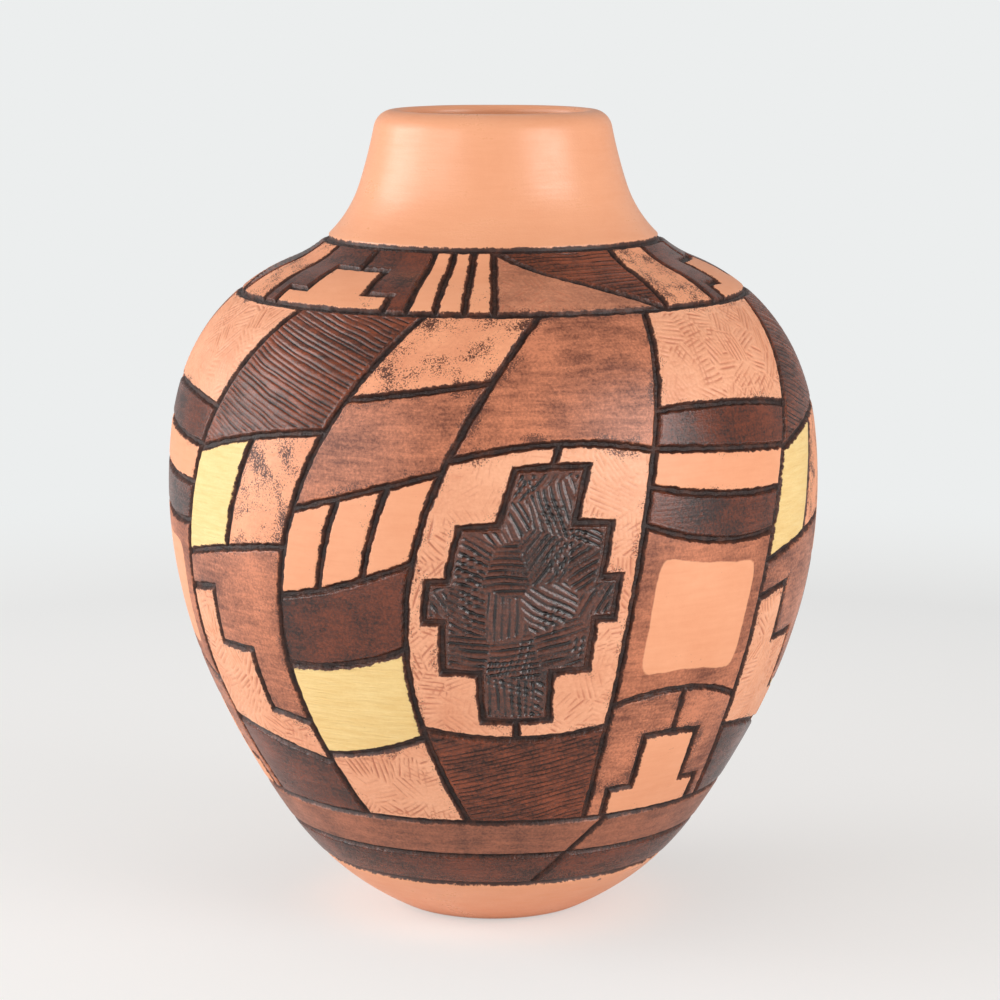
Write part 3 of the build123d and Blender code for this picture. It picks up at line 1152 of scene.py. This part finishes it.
@dataclass
class CarvedField:
    """One field that stands between the grooves: its outline, where it lies and its finish.

    Attributes:
        corners: Its corners in its block.
        place: What turns a corner into a bearing and a station.
        finish: Its finish.
        chart: The sheet that it is drawn on.
        lean: The way that its strokes run, in radians.
        frame: The width of its painted frame in millimetres, 0 for none, or WHOLE_WASH for paint all over.
        raggedness: How far its edge strays, in millimetres.
    """

    corners: Sequence[Pair]
    place: Place
    finish: Finish
    chart: Chart
    lean: float = 0.0
    frame: float = 0.0
    raggedness: float = 0.55

    def edges(self) -> list[np.ndarray]:
        """Lay out the edges on the chart, at the middle of the grooves.

        Returns:
            The first, middle and last point of each edge.
        """
        found = []
        for first, last in zip(self.corners, self.corners[1:] + self.corners[:1]):
            middle = ((first[0] + last[0]) / 2, (first[1] + last[1]) / 2)
            found.append(np.array([self.chart.flat(*self.place(*point)) for point in (first, middle, last)]))
        return found

    def outline(self, inset: float) -> np.ndarray:
        """Draw the field's outline, a distance inside the middle of the grooves.

        Args:
            inset: That distance, in millimetres.

        Returns:
            Evenly spaced points, anticlockwise, the same number for every inset.
        """
        edges = self.edges()
        corners, middles, counts = [], [], []
        for before, edge in zip(edges[-1:] + edges[:-1], edges):
            arriving = inward(before[0] - 4 * before[1] + 3 * before[2])
            leaving = inward(4 * edge[1] - 3 * edge[0] - edge[2])
            corners.append(edge[0] + (arriving + leaving) * inset / (1 + arriving @ leaving))
            middles.append(edge[1] + inward(edge[2] - edge[0]) * inset)
            counts.append(max(2, round(float(np.linalg.norm(edge[2] - edge[0])) / OUTLINE_SPACING)))
        points = []
        for first, middle, last, count in zip(corners, middles, corners[1:] + corners[:1], counts):
            for step in range(count):
                points.append(through((first, middle, last), step / count))
        return np.array(points)

    def flat_mesh(self) -> bmesh.types.BMesh:
        """Model the field as a tile lying flat: a strip bent round its outline, capped and cut into a grid.

        Returns:
            The tile, closed below, with each vertex's distance inside its outline in a layer.
        """
        tile = bmesh.new()
        near = tile.verts.layers.float.new("edge")
        rows = [(self.outline(WALL.groove / 2 + inset), inset, depth) for inset, depth in EDGE_ROWS]
        around = len(rows[0][0])
        strip = bmesh.ops.create_grid(tile, x_segments=around, y_segments=len(rows) - 1, size=1.0)["verts"]
        columns = sorted({round(vert.co.x, STRIP_DIGITS) for vert in strip})
        levels = sorted({round(vert.co.y, STRIP_DIGITS) for vert in strip})
        column_of = {value: index for index, value in enumerate(columns)}
        level_of = {value: index for index, value in enumerate(levels)}
        for vert in strip:
            points, inset, depth = rows[level_of[round(vert.co.y, STRIP_DIGITS)]]
            x, y = points[column_of[round(vert.co.x, STRIP_DIGITS)] % around]
            vert.co = (x, y, -depth)
            vert[near] = inset
        bmesh.ops.remove_doubles(tile, verts=tile.verts[:], dist=SAME_PLACE / 10)
        rims = [edge for edge in tile.edges if edge.is_boundary]
        top = [edge for edge in rims if all(vert.co.z > -SAME_PLACE for vert in edge.verts)]
        low = [edge for edge in rims if all(vert.co.z < -WALL.carve_depth for vert in edge.verts)]
        for edge in low:
            edge.smooth = False
        bmesh.ops.contextual_create(tile, geom=low)
        cap = bmesh.ops.contextual_create(tile, geom=top)["faces"]
        self._cut_grid(tile, cap)
        bmesh.ops.recalc_face_normals(tile, faces=tile.faces[:])
        return tile

    def _cut_grid(self, tile: bmesh.types.BMesh, cap: list[bmesh.types.BMFace]) -> None:
        """Cut the cap into a fine grid, strip by strip and then across.

        Args:
            tile: The tile.
            cap: Its top face.
        """
        step = self.finish.clay.working.grid
        low = np.min([v.co[:2] for face in cap for v in face.verts], axis=0)
        high = np.max([v.co[:2] for face in cap for v in face.verts], axis=0)
        for axis in (0, 1):
            normal = Vector((1 - axis, axis, 0))
            done, ahead = [], list(cap)
            for cut in np.arange(low[axis] + step / 2, high[axis], step):
                edges = (edge for face in ahead for edge in face.edges)
                verts = (vert for face in ahead for vert in face.verts)
                result = bmesh.ops.bisect_plane(
                    tile,
                    geom=list({*ahead, *edges, *verts}),
                    dist=SAME_PLACE,
                    plane_co=normal * float(cut),
                    plane_no=normal,
                )["geom"]
                faces = [item for item in result if isinstance(item, bmesh.types.BMFace)]
                ahead = [face for face in faces if face.calc_center_median()[axis] > cut]
                done.extend(face for face in faces if face.calc_center_median()[axis] <= cut)
            cap = done + ahead

    def inside_frame(self, points: np.ndarray) -> np.ndarray:
        """Measure how far points are inside the field's painted frame, whose inner corners are rounded.

        Args:
            points: The points on the chart.

        Returns:
            Each point's distance, less than zero on the paint, or a large one in a field without a frame.
        """
        if self.frame in (0.0, WHOLE_WASH):
            return np.full(len(points), -NO_FRAME if self.frame else NO_FRAME)
        total = np.zeros(len(points))
        shares = np.linspace(0, 1, FRAME_SIDE_POINTS)
        for edge in self.edges():
            side = np.array([through(edge, share) for share in shares])
            total += np.exp(-distance_from(points, np.vstack((side, side[::-1]))) / FRAME_ROUNDING)
        return -FRAME_ROUNDING * np.log(total) - self.frame

    def lay(self, mesh: bpy.types.Mesh, flat: np.ndarray, near: np.ndarray, turn: float, seed: float) -> None:
        """Bend the tile onto the jar's wall and cut its strokes.

        Args:
            mesh: The tile's mesh, whose points are moved.
            flat: The points of the flat tile.
            near: How far each point is inside the outline.
            turn: How far round the axis the tile goes, in degrees.
            seed: Which pattern of strokes to use.
        """
        working = self.finish.clay.working
        x, y, z = flat.T
        loose = self.raggedness * (1 - smooth(*RAGGED_LIMITS, near))
        x = stray(x, x / RAGGED_LUMP + RAGGED_SHIFT, y / RAGGED_LUMP, loose, seed)
        y = stray(y, x / RAGGED_LUMP, y / RAGGED_LUMP + RAGGED_SHIFT, loose, seed + 1)
        cut = working.cuts(x, y, self.lean, seed) * smooth(*CUT_LIMITS, near)
        bearing = self.chart.bearing(x, y) + math.radians(turn)
        depth = -z + cut * working.depth + working.sunk * smooth(*SUNK_LIMITS, near)
        write_points(mesh, bearing, y, depth)
        write_values(mesh, "edge", near)
        write_values(mesh, "cut", cut)
        write_values(mesh, "frame", self.inside_frame(flat[:, :2]))


class Bench:
    """Holds the finishes' materials and sets finished pieces on the jar."""

    def __init__(self) -> None:
        """Build every finish's material once."""
        effects = SharedEffects()
        self.materials = {finish: finish.clay.material(effects) for finish in Finish}

    def show(self, name: str, mesh: bpy.types.Mesh, finish: Finish, nodes: Sequence[str]) -> bpy.types.Object:
        """Dress a finished mesh and put it in the place of its nodes.

        Args:
            name: The piece's name.
            mesh: Its mesh, in the jar's own place.
            finish: Its finish.
            nodes: The nodes of the frame that it stands for.

        Returns:
            The piece.
        """
        mesh.name = name
        mesh.materials.append(self.materials[finish])
        mesh.shade_smooth()
        piece = bpy.data.objects.new(name, mesh)
        bpy.context.scene.collection.objects.link(piece)
        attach(piece, "root")
        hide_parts(*nodes)
        triangles = sum(len(face.vertices) - 2 for face in mesh.polygons)
        log.info("%s: %d triangles in place of %s", name, triangles, ", ".join(nodes))
        return piece


@dataclass
class ClayBody:
    """The jar's own wall: the base that it was started on, the carved ground and the neck with its lip.

    Lengths are in millimetres.

    Attributes:
        steps: How many steps the wall has round the axis.
        outer_pitch: How far apart the points of its outside lie.
        inner_pitch: The same for its inside.
        lip_pitch: The same for its lip.
        far_inside: What stands for a place that no groove is near.
        raggedness: How far the edges beside the carving stray.
        edge_radius: About how far these edges lie from the axis.
        ragged_seed: Which pattern they use.
        sharp_angle: The angle, in radians, from which an edge of the mesh is a sharp one.
    """

    steps: int = 360
    outer_pitch: float = 1.5
    inner_pitch: float = 4.0
    lip_pitch: float = 0.7
    far_inside: float = 9.0
    raggedness: float = 0.15
    edge_radius: float = 75.0
    ragged_seed: float = 5.0
    sharp_angle: float = math.radians(60)

    def build(self, bench: Bench) -> None:
        """Build and dress the three parts of the wall.

        Args:
            bench: Where they are dressed.
        """
        base_edge = [(WALL.base_top - inset, depth, inset) for inset, depth in reversed(EDGE_ROWS)]
        neck_edge = [(WALL.shoulder_top + inset, depth, inset) for inset, depth in EDGE_ROWS]
        base = (
            self._run(-WALL.foot_radius, 0, 0, self.inner_pitch)
            + self._run(0, WALL.base_top - EDGE_REACH, 0, self.outer_pitch)[1:-1]
            + base_edge
            + self._run(WALL.base_top, -WALL.foot_radius, WALL.thickness, self.inner_pitch)
        )
        ground = self._run(WALL.base_top, WALL.shoulder_top, WALL.carve_depth, self.outer_pitch) + self._run(
            WALL.shoulder_top, WALL.base_top, WALL.thickness, self.inner_pitch
        )
        neck = (
            neck_edge
            + self._run(WALL.shoulder_top + EDGE_REACH, WALL.lip_start, 0, self.outer_pitch)[1:-1]
            + self._run(WALL.lip_start, WALL.lip_end, 0, self.lip_pitch)
            + self._run(WALL.lip_start, WALL.shoulder_top, WALL.thickness, self.inner_pitch)
        )
        self._spin(bench, "base", base, Finish.BURNISHED, ("puki_base",), closed=False)
        courses = ("lower_course", "belly_course", "upper_course", "shoulder_course")
        self._spin(bench, "carved_ground", ground, Finish.GROOVE, courses, closed=True)
        self._spin(bench, "neck_and_lip", neck, Finish.BURNISHED, ("neck_course", "rim_coil"), closed=True)

    def _run(self, start: float, end: float, depth: float, pitch: float) -> list[Triple]:
        """Follow the wall's section from one station to another.

        Args:
            start: The first station.
            end: The last station.
            depth: The depth to keep to.
            pitch: About how far apart the points go.

        Returns:
            The station, depth and distance from the grooves of each point.
        """
        count = max(2, round(abs(end - start) / pitch)) + 1
        stations = np.linspace(start, end, count)
        inside = self.far_inside
        if depth == 0:
            return [(s, depth, min(inside, max(WALL.base_top - s, s - WALL.shoulder_top))) for s in stations]
        return [(s, depth, inside if depth == WALL.thickness else -inside) for s in stations]

    def _spin(
        self,
        bench: Bench,
        name: str,
        profile: Sequence[Triple],
        finish: Finish,
        nodes: Sequence[str],
        closed: bool,
    ) -> None:
        """Spin a profile about the jar's axis and give it the unevenness of a hand-made wall.

        Args:
            bench: Where the piece is dressed.
            name: The piece's name.
            profile: The station, depth and distance from the grooves of each point.
            finish: The piece's finish.
            nodes: The nodes that it stands for.
            closed: Whether the profile runs back to its start, or ends on the axis.
        """
        spun = bmesh.new()
        layers = [spun.verts.layers.float.new(label) for label in ("station", "depth", "edge")]
        points = []
        for row in profile:
            radius, height = WALL.place(np.array([row[0]]), np.array([row[1]]))
            vert = spun.verts.new((float(radius[0]), 0, float(height[0])))
            for layer, value in zip(layers, row):
                vert[layer] = float(value)
            points.append(vert)
        for first, last in zip(points, points[1:] + points[: int(closed)]):
            spun.edges.new((first, last))
        bmesh.ops.spin(
            spun,
            geom=spun.verts[:] + spun.edges[:],
            cent=(0, 0, 0),
            axis=(0, 0, 1),
            dvec=(0, 0, 0),
            angle=FULL_TURN,
            steps=self.steps,
            use_merge=True,
        )
        bmesh.ops.remove_doubles(spun, verts=spun.verts[:], dist=SAME_PLACE)
        bmesh.ops.recalc_face_normals(spun, faces=spun.faces[:])
        for edge in spun.edges:
            edge.smooth = edge.calc_face_angle(0) < self.sharp_angle
        mesh = bpy.data.meshes.new(name)
        spun.to_mesh(mesh)
        spun.free()
        x, y, _ = read_points(mesh).T
        station, depth, edge = (read_values(mesh, label) for label in ("station", "depth", "edge"))
        bearing = np.arctan2(y, x)
        outside = depth < WALL.thickness / 2
        loose = self.raggedness * (1 - smooth(*RAGGED_LIMITS, np.abs(edge))) * outside
        around = bearing * self.edge_radius
        station = stray(station, around / RAGGED_LUMP, station / RAGGED_LUMP, loose, self.ragged_seed)
        write_points(mesh, bearing, station, depth)
        for label in ("station", "depth"):
            mesh.attributes.remove(mesh.attributes[label])
        write_values(mesh, "cut", np.zeros_like(edge))
        write_values(mesh, "frame", np.full_like(edge, NO_FRAME))
        bench.show(name, mesh, finish, nodes)


Block = tuple[tuple, tuple[Finish, ...]]
NODE_WORDS = {
    Finish.POLISHED: "plain",
    Finish.HATCHED: "hatched",
    Finish.STIPPLED: "stippled",
    Finish.BROWN: "brown",
    Finish.DARK: "dark",
    Finish.COMBED: "combed",
    Finish.GLOSSY: "glossy",
    Finish.YELLOW: "yellow",
}


@dataclass
class CarvedBand:
    """The carved band: bays that sweep up the wall, a border on the shoulder and two stripes near the foot.

    Bearings are in degrees and lengths in millimetres.

    Attributes:
        panels: How often the band's panel repeats round the jar.
        first_bearing: Where the first panel starts.
        sweeps: The lines between the bays, as shares of a panel, low down, half way up and at the top.
        bays: Each bay's cuts, as shares of the band's height on the left, in the middle and on the right,
            and the blocks between them.
        border: Each block of the border: where it starts and ends, its fields and their finishes.
        stripes: The node and the finish of each stripe, from the lower one up.
        stripe_cut_bearing: Where a slanted cut crosses the stripes.
        stripe_cut_lean: How far it leans.
        stripe_raggedness: How far the stripes' edges stray.
        stroke_lean: How far combed strokes lean from their bay.
        framed_height: How tall a plain field is that has a painted frame.
        frame_width: The frame's width.
        most_triangles: What a piece may have before it is parted by panels.
        first_seed: The seed of the first field.
        seed_steps: What the next group, the next field and the next panel add to it.
    """

    panels: int = 3
    first_bearing: float = -152.0
    sweeps: tuple[Triple, ...] = (
        (0.00, -0.03, 0.14),
        (0.26, 0.20, 0.40),
        (0.47, 0.40, 0.60),
        (0.70, 0.72, 0.80),
        (1.00, 0.97, 1.14),
    )
    bays: tuple[tuple[tuple[Triple, ...], tuple[Block, ...]], ...] = (
        (
            ((0, 0, 0), (0.17, 0.15, 0.12), (0.50, 0.53, 0.55), (0.70, 0.74, 0.76), (1, 1, 1)),
            (
                (WHOLE, (Finish.DARK,)),
                (STEPS, (Finish.HATCHED, Finish.BROWN)),
                (HALVES, (Finish.YELLOW, Finish.STIPPLED)),
                (WHOLE, (Finish.COMBED,)),
            ),
        ),
        (
            (
                (0, 0, 0), (0.14, 0.16, 0.20), (0.33, 0.34, 0.38), (0.46, 0.49, 0.54), (0.62, 0.66, 0.70),
                (0.82, 0.84, 0.86), (1, 1, 1),
            ),
            (
                (WHOLE, (Finish.HATCHED,)),
                (WHOLE, (Finish.YELLOW,)),
                (WHOLE, (Finish.DARK,)),
                (UPRIGHT_BARS, (Finish.POLISHED,) * 3),
                (WHOLE, (Finish.BROWN,)),
                (WHOLE, (Finish.STIPPLED,)),
            ),
        ),
        (
            ((0, 0, 0), (0.22, 0.20, 0.22), (0.72, 0.75, 0.73), (1, 1, 1)),
            (
                (WHOLE, (Finish.COMBED,)),
                (LOZENGE, (Finish.GLOSSY, Finish.HATCHED, Finish.HATCHED)),
                (WHOLE, (Finish.BROWN,)),
            ),
        ),
        (
            ((0, 0, 0), (0.26, 0.28, 0.24), (0.60, 0.56, 0.56), (0.80, 0.80, 0.78), (1, 1, 1)),
            (
                (TERRACE, (Finish.POLISHED, Finish.BROWN, Finish.BROWN)),
                (WHOLE, (Finish.POLISHED,)),
                (LEVEL_BARS, (Finish.DARK, Finish.POLISHED, Finish.DARK)),
                (WHOLE, (Finish.HATCHED,)),
            ),
        ),
    )
    border: tuple[tuple[float, float, tuple, tuple[Finish, ...]], ...] = (
        (0.00, 0.36, TERRACE, (Finish.POLISHED, Finish.DARK, Finish.DARK)),
        (0.36, 0.52, UPRIGHT_BARS, (Finish.POLISHED,) * 3),
        (0.52, 0.86, CORNERS, (Finish.HATCHED, Finish.COMBED)),
        (0.86, 1.00, WHOLE, (Finish.STIPPLED,)),
    )
    stripes: tuple[tuple[str, Finish], ...] = (("lower_stripe", Finish.DARK), ("upper_stripe", Finish.STRIPE))
    stripe_cut_bearing: float = -70.0
    stripe_cut_lean: float = 32.0
    stripe_raggedness: float = 0.25
    stroke_lean: float = 8.0
    framed_height: float = 40.0
    frame_width: float = 7.5
    most_triangles: int = 180_000
    first_seed: float = 10.0
    seed_steps: Triple = (13.0, 3.7, 1.9)

    @property
    def panel_angle(self) -> float:
        """The angle that one panel takes."""
        return 360 / self.panels

    def fields(self) -> dict[str, list[CarvedField]]:
        """Lay out one panel.

        Returns:
            The fields of each group, by the name of the node that they stand for.
        """
        groups: dict[str, list[CarvedField]] = {}
        for left, right, (cuts, blocks) in zip(self.sweeps, self.sweeps[1:], self.bays):
            for low, high, (pattern, finishes) in zip(cuts, cuts[1:], blocks):
                place = self._bay_place(left, right, low, high)
                for corners, finish in zip(pattern, finishes):
                    carved = self._field(corners, place, finish)
                    groups.setdefault(f"{NODE_WORDS[finish]}_fields", []).append(carved)
        for start, end, pattern, finishes in self.border:
            place = self._border_place(start, end)
            for corners, finish in zip(pattern, finishes):
                carved = self._field(corners, place, finish)
                carved.frame = WHOLE_WASH if finish is Finish.HATCHED else 0.0
                groups.setdefault(f"border_{NODE_WORDS[finish]}", []).append(carved)
        for number, (name, finish) in enumerate(self.stripes):
            groups[name] = [self._stripe(number, finish)]
        return groups

    def _bay_place(self, left: Triple, right: Triple, low: Triple, high: Triple) -> Place:
        """Give the function that turns shares of a block in a bay into a bearing and a station.

        Args:
            left: The sweep on its left, in shares of a panel.
            right: The sweep on its right.
            low: The cut below it, in shares of the main band.
            high: The cut above it.

        Returns:
            That function.
        """

        def place(across: float, up: float) -> Pair:
            """Turn shares of the block's width and height into a bearing and a station."""
            bottom, top = through(low, across), through(high, across)
            rise = bottom + up * (top - bottom)
            start, end = through(left, rise), through(right, rise)
            along = start + across * (end - start)
            station = WALL.main_start + rise * (WALL.main_end - WALL.main_start)
            return self.first_bearing + along * self.panel_angle, station

        return place

    def _border_place(self, left: float, right: float) -> Place:
        """Give the function that turns shares of a border block into a bearing and a station.

        Args:
            left: Where the block starts, as a share of a panel.
            right: Where it ends.

        Returns:
            That function.
        """

        def place(across: float, up: float) -> Pair:
            """Turn shares of the block's width and height into a bearing and a station."""
            along = left + across * (right - left)
            station = WALL.main_end + up * (WALL.band_end - WALL.main_end)
            return self.first_bearing + along * self.panel_angle, station

        return place

    def _field(self, corners: Sequence[Pair], place: Place, finish: Finish) -> CarvedField:
        """Lay out one field between its corners.

        Args:
            corners: The corners, as shares of the block.
            place: What turns them into bearings and stations.
            finish: The field's finish.

        Returns:
            The field.
        """
        bearings, stations = zip(*(place(*corner) for corner in corners))
        chart = Chart(sum(bearings) / len(bearings))
        low, high = (chart.flat(*place(0.5, up)) for up in (0.1, 0.9))
        lean = math.atan2(high[1] - low[1], high[0] - low[0]) - math.radians(90)
        tall = max(stations) - min(stations) > self.framed_height
        framed = tall and finish is Finish.POLISHED and corners == WHOLE[0]
        frame = self.frame_width if framed else 0.0
        return CarvedField(list(corners), place, finish, chart, lean + math.radians(self.stroke_lean), frame)

    def _stripe(self, number: int, finish: Finish) -> CarvedField:
        """Lay out one stripe's stretch between two slanted cuts.

        Args:
            number: 0 for the lower stripe and 1 for the upper.
            finish: Its finish.

        Returns:
            The stretch as a field.
        """
        middle = WALL.band_start + WALL.stripe
        reach = float(WALL.place(np.array([middle]), np.zeros(1))[0][0])
        slope = math.tan(math.radians(self.stripe_cut_lean)) / reach

        def place(across: float, up: float) -> Pair:
            """Turn shares of the stretch's length and width into a bearing and a station."""
            station = WALL.band_start + (number + up) * WALL.stripe
            lean = math.degrees((station - middle) * slope)
            return self.stripe_cut_bearing + lean + across * self.panel_angle, station

        chart = Chart(self.stripe_cut_bearing + self.panel_angle / 2, reach)
        return CarvedField(list(WHOLE[0]), place, finish, chart, raggedness=self.stripe_raggedness)

    def build(self, bench: Bench) -> None:
        """Build every group's fields on every panel, and dress them.

        Args:
            bench: Where they are dressed.
        """
        every_panel = list(range(self.panels))
        for group, (name, fields) in enumerate(self.fields().items()):
            tiles = [self._tile(carved) for carved in fields]
            triangles = sum(2 * len(mesh.polygons) for mesh, _, _ in tiles) * self.panels
            parts = [every_panel] if triangles < self.most_triangles else [[panel] for panel in every_panel]
            for part, panels in enumerate(parts):
                joined = bmesh.new()
                for panel in panels:
                    for index, (carved, (mesh, flat, near)) in enumerate(zip(fields, tiles)):
                        seed = self._seed(group, index, panel)
                        carved.lay(mesh, flat, near, panel * self.panel_angle, seed)
                        joined.from_mesh(mesh)
                piece = bpy.data.meshes.new(name)
                joined.to_mesh(piece)
                joined.free()
                label = f"carved_{name}" if len(parts) == 1 else f"carved_{name}_{part + 1}"
                bench.show(label, piece, fields[0].finish, (name,))
            for mesh, _, _ in tiles:
                bpy.data.meshes.remove(mesh)

    def _seed(self, group: int, index: int, panel: int) -> float:
        """Give each field on each panel its own seed."""
        by_group, by_field, by_panel = self.seed_steps
        return self.first_seed + group * by_group + index * by_field + panel * by_panel

    @staticmethod
    def _tile(carved: CarvedField) -> tuple[bpy.types.Mesh, np.ndarray, np.ndarray]:
        """Model one field flat, and measure how far each of its points is inside its outline.

        Args:
            carved: The field.

        Returns:
            The flat tile's mesh, its points, and how far each is inside.
        """
        tile = carved.flat_mesh()
        mesh = bpy.data.meshes.new("tile")
        tile.to_mesh(mesh)
        tile.free()
        flat = read_points(mesh)
        near = read_values(mesh, "edge")
        inner = near > EDGE_REACH - SAME_PLACE * 10
        outline = carved.outline(WALL.groove / 2 + EDGE_REACH)
        near[inner] = EDGE_REACH + distance_from(flat[inner, :2], outline)
        return mesh, flat, near


@dataclass(frozen=True)
class SoftLight:
    """One large soft light: where it hangs round the jar, its size and its power.

    Attributes:
        name: Its name.
        azimuth: How far round the jar it hangs from the camera's side, in degrees.
        distance: How far from the axis it hangs, in metres.
        height: How high it hangs.
        size: Its width and height.
        power: Its power, in watts.
        aim_height: The height on the jar that it faces.
    """

    name: str
    azimuth: float
    distance: float
    height: float
    size: Pair
    power: float
    aim_height: float = 0.14

    def hang(self) -> None:
        """Hang the light so that it faces the jar."""
        angle = math.radians(self.azimuth)
        place = Vector((math.sin(angle) * self.distance, -math.cos(angle) * self.distance, self.height))
        lamp = bpy.data.lights.new(self.name, "AREA")
        lamp.shape = "RECTANGLE"
        lamp.size, lamp.size_y = self.size
        lamp.energy = self.power
        seat = bpy.data.objects.new(self.name, lamp)
        seat.location = place
        seat.rotation_euler = (Vector((0, 0, self.aim_height)) - place).to_track_quat("-Z", "Y").to_euler()
        bpy.context.scene.collection.objects.link(seat)


@dataclass
class Studio:
    """The table that the jar stands on, the soft lights round it, and the camera. Lengths are in metres.

    Attributes:
        camera_distance: How far in front of the jar's axis the camera stands.
        camera_height: How high it stands.
        camera_shift: How far to the right it stands.
        camera_pitch: How far it looks down, in degrees.
        lens: Its focal length, in millimetres.
        sensor: Its sensor's width, in millimetres.
        lights: The lights.
        ambient: The strength of the even light of the room.
        floor_reach: How far the floor reaches.
        floor_fade: Where the floor starts to turn into the backdrop, and where it has.
        floor_lift: The share of even light that the floor has close to the jar.
        floor_roughness: How dull the floor is.
        floor_specular: How much light it throws back.
        floor_colour: Its colour.
        floor_glow: The colour of its even light close to the jar.
        backdrop: The colour of the backdrop.
    """

    camera_distance: float = 1.150
    camera_height: float = 0.3342
    camera_shift: float = 0.0024
    camera_pitch: float = 9.436
    lens: float = 119.25
    sensor: float = 36.0
    lights: tuple[SoftLight, ...] = (
        SoftLight("left_light", -92.0, 1.40, 0.50, (0.9, 1.0), 13.0),
        SoftLight("front_light", -50.0, 1.40, 0.50, (0.9, 1.0), 6.0),
        SoftLight("right_light", 53.0, 1.40, 0.50, (0.9, 1.0), 12.5),
    )
    ambient: float = 0.43
    floor_reach: float = 80.0
    floor_fade: Pair = (0.25, 0.9)
    floor_lift: float = 0.5
    floor_roughness: float = 0.8
    floor_specular: float = 0.1
    floor_colour: Colour = field(default=srgb(245, 246, 246))
    floor_glow: Colour = field(default=srgb(252, 249, 246))
    backdrop: Colour = field(default=srgb(236, 238, 238))

    def build(self) -> None:
        """Set the camera, the floor, the lights and the surroundings."""
        self._camera()
        self._floor()
        for light in self.lights:
            light.hang()
        self._world()

    def _camera(self) -> None:
        """Set the camera where the photograph was taken from."""
        camera = bpy.data.cameras.new("camera")
        camera.lens, camera.sensor_width = self.lens, self.sensor
        seat = bpy.data.objects.new("camera", camera)
        seat.location = (self.camera_shift, -self.camera_distance, self.camera_height)
        seat.rotation_euler = (math.radians(90 - self.camera_pitch), 0, 0)
        bpy.context.scene.collection.objects.link(seat)
        bpy.context.scene.camera = seat

    def _floor(self) -> None:
        """Lay the pale table top, which runs far back."""
        sheet = bmesh.new()
        bmesh.ops.create_grid(sheet, x_segments=1, y_segments=1, size=self.floor_reach)
        mesh = bpy.data.meshes.new("floor")
        sheet.to_mesh(mesh)
        sheet.free()
        material = bpy.data.materials.new("floor")
        material.use_nodes = True
        tree = Tree(material.node_tree)
        place = tree.add("TexCoord").outputs["Object"]
        away = tree.add("VectorMath", {0: place}, operation="LENGTH").outputs["Value"]
        seen = tree.add("LightPath").outputs["Is Camera Ray"]
        far = tree.step(away, *self.floor_fade)
        faded = tree.maths("MAXIMUM", far, self.floor_lift)
        share = tree.maths("MULTIPLY", faded, seen)
        surface = tree.add(
            "BsdfPrincipled",
            {
                "Base Color": self.floor_colour,
                "Roughness": self.floor_roughness,
                "Specular IOR Level": self.floor_specular,
            },
        )
        glow = tree.blend(far, self.floor_glow, self.backdrop)
        even = tree.add("Emission", {"Color": glow, "Strength": 1.0})
        mixed = tree.add("MixShader", {0: share, 1: surface.outputs[0], 2: even.outputs[0]})
        tree.add("OutputMaterial", {"Surface": mixed.outputs[0]})
        mesh.materials.append(material)
        floor = bpy.data.objects.new("floor", mesh)
        bpy.context.scene.collection.objects.link(floor)

    def _world(self) -> None:
        """Fill the room with even light, and give the camera a pale backdrop."""
        world = bpy.data.worlds.new("room")
        world.use_nodes = True
        tree = Tree(world.node_tree)
        seen = tree.add("LightPath").outputs["Is Camera Ray"]
        room = tree.add("Background", {"Color": (1.0, 1.0, 1.0, 1.0), "Strength": self.ambient})
        backdrop = tree.add("Background", {"Color": self.backdrop, "Strength": 1.0})
        mixed = tree.add("MixShader", {0: seen, 1: room.outputs[0], 2: backdrop.outputs[0]})
        tree.add("OutputWorld", {"Surface": mixed.outputs[0]})
        bpy.context.scene.world = world
        bpy.context.scene.view_settings.view_transform = "Standard"


def main() -> None:
    """Build the jar's wall, its carved band and the studio."""
    logging.basicConfig(level=logging.INFO, format="%(name)s: %(message)s")
    bench = Bench()
    ClayBody().build(bench)
    CarvedBand().build(bench)
    Studio().build()


if __name__ == "__main__":
    main()
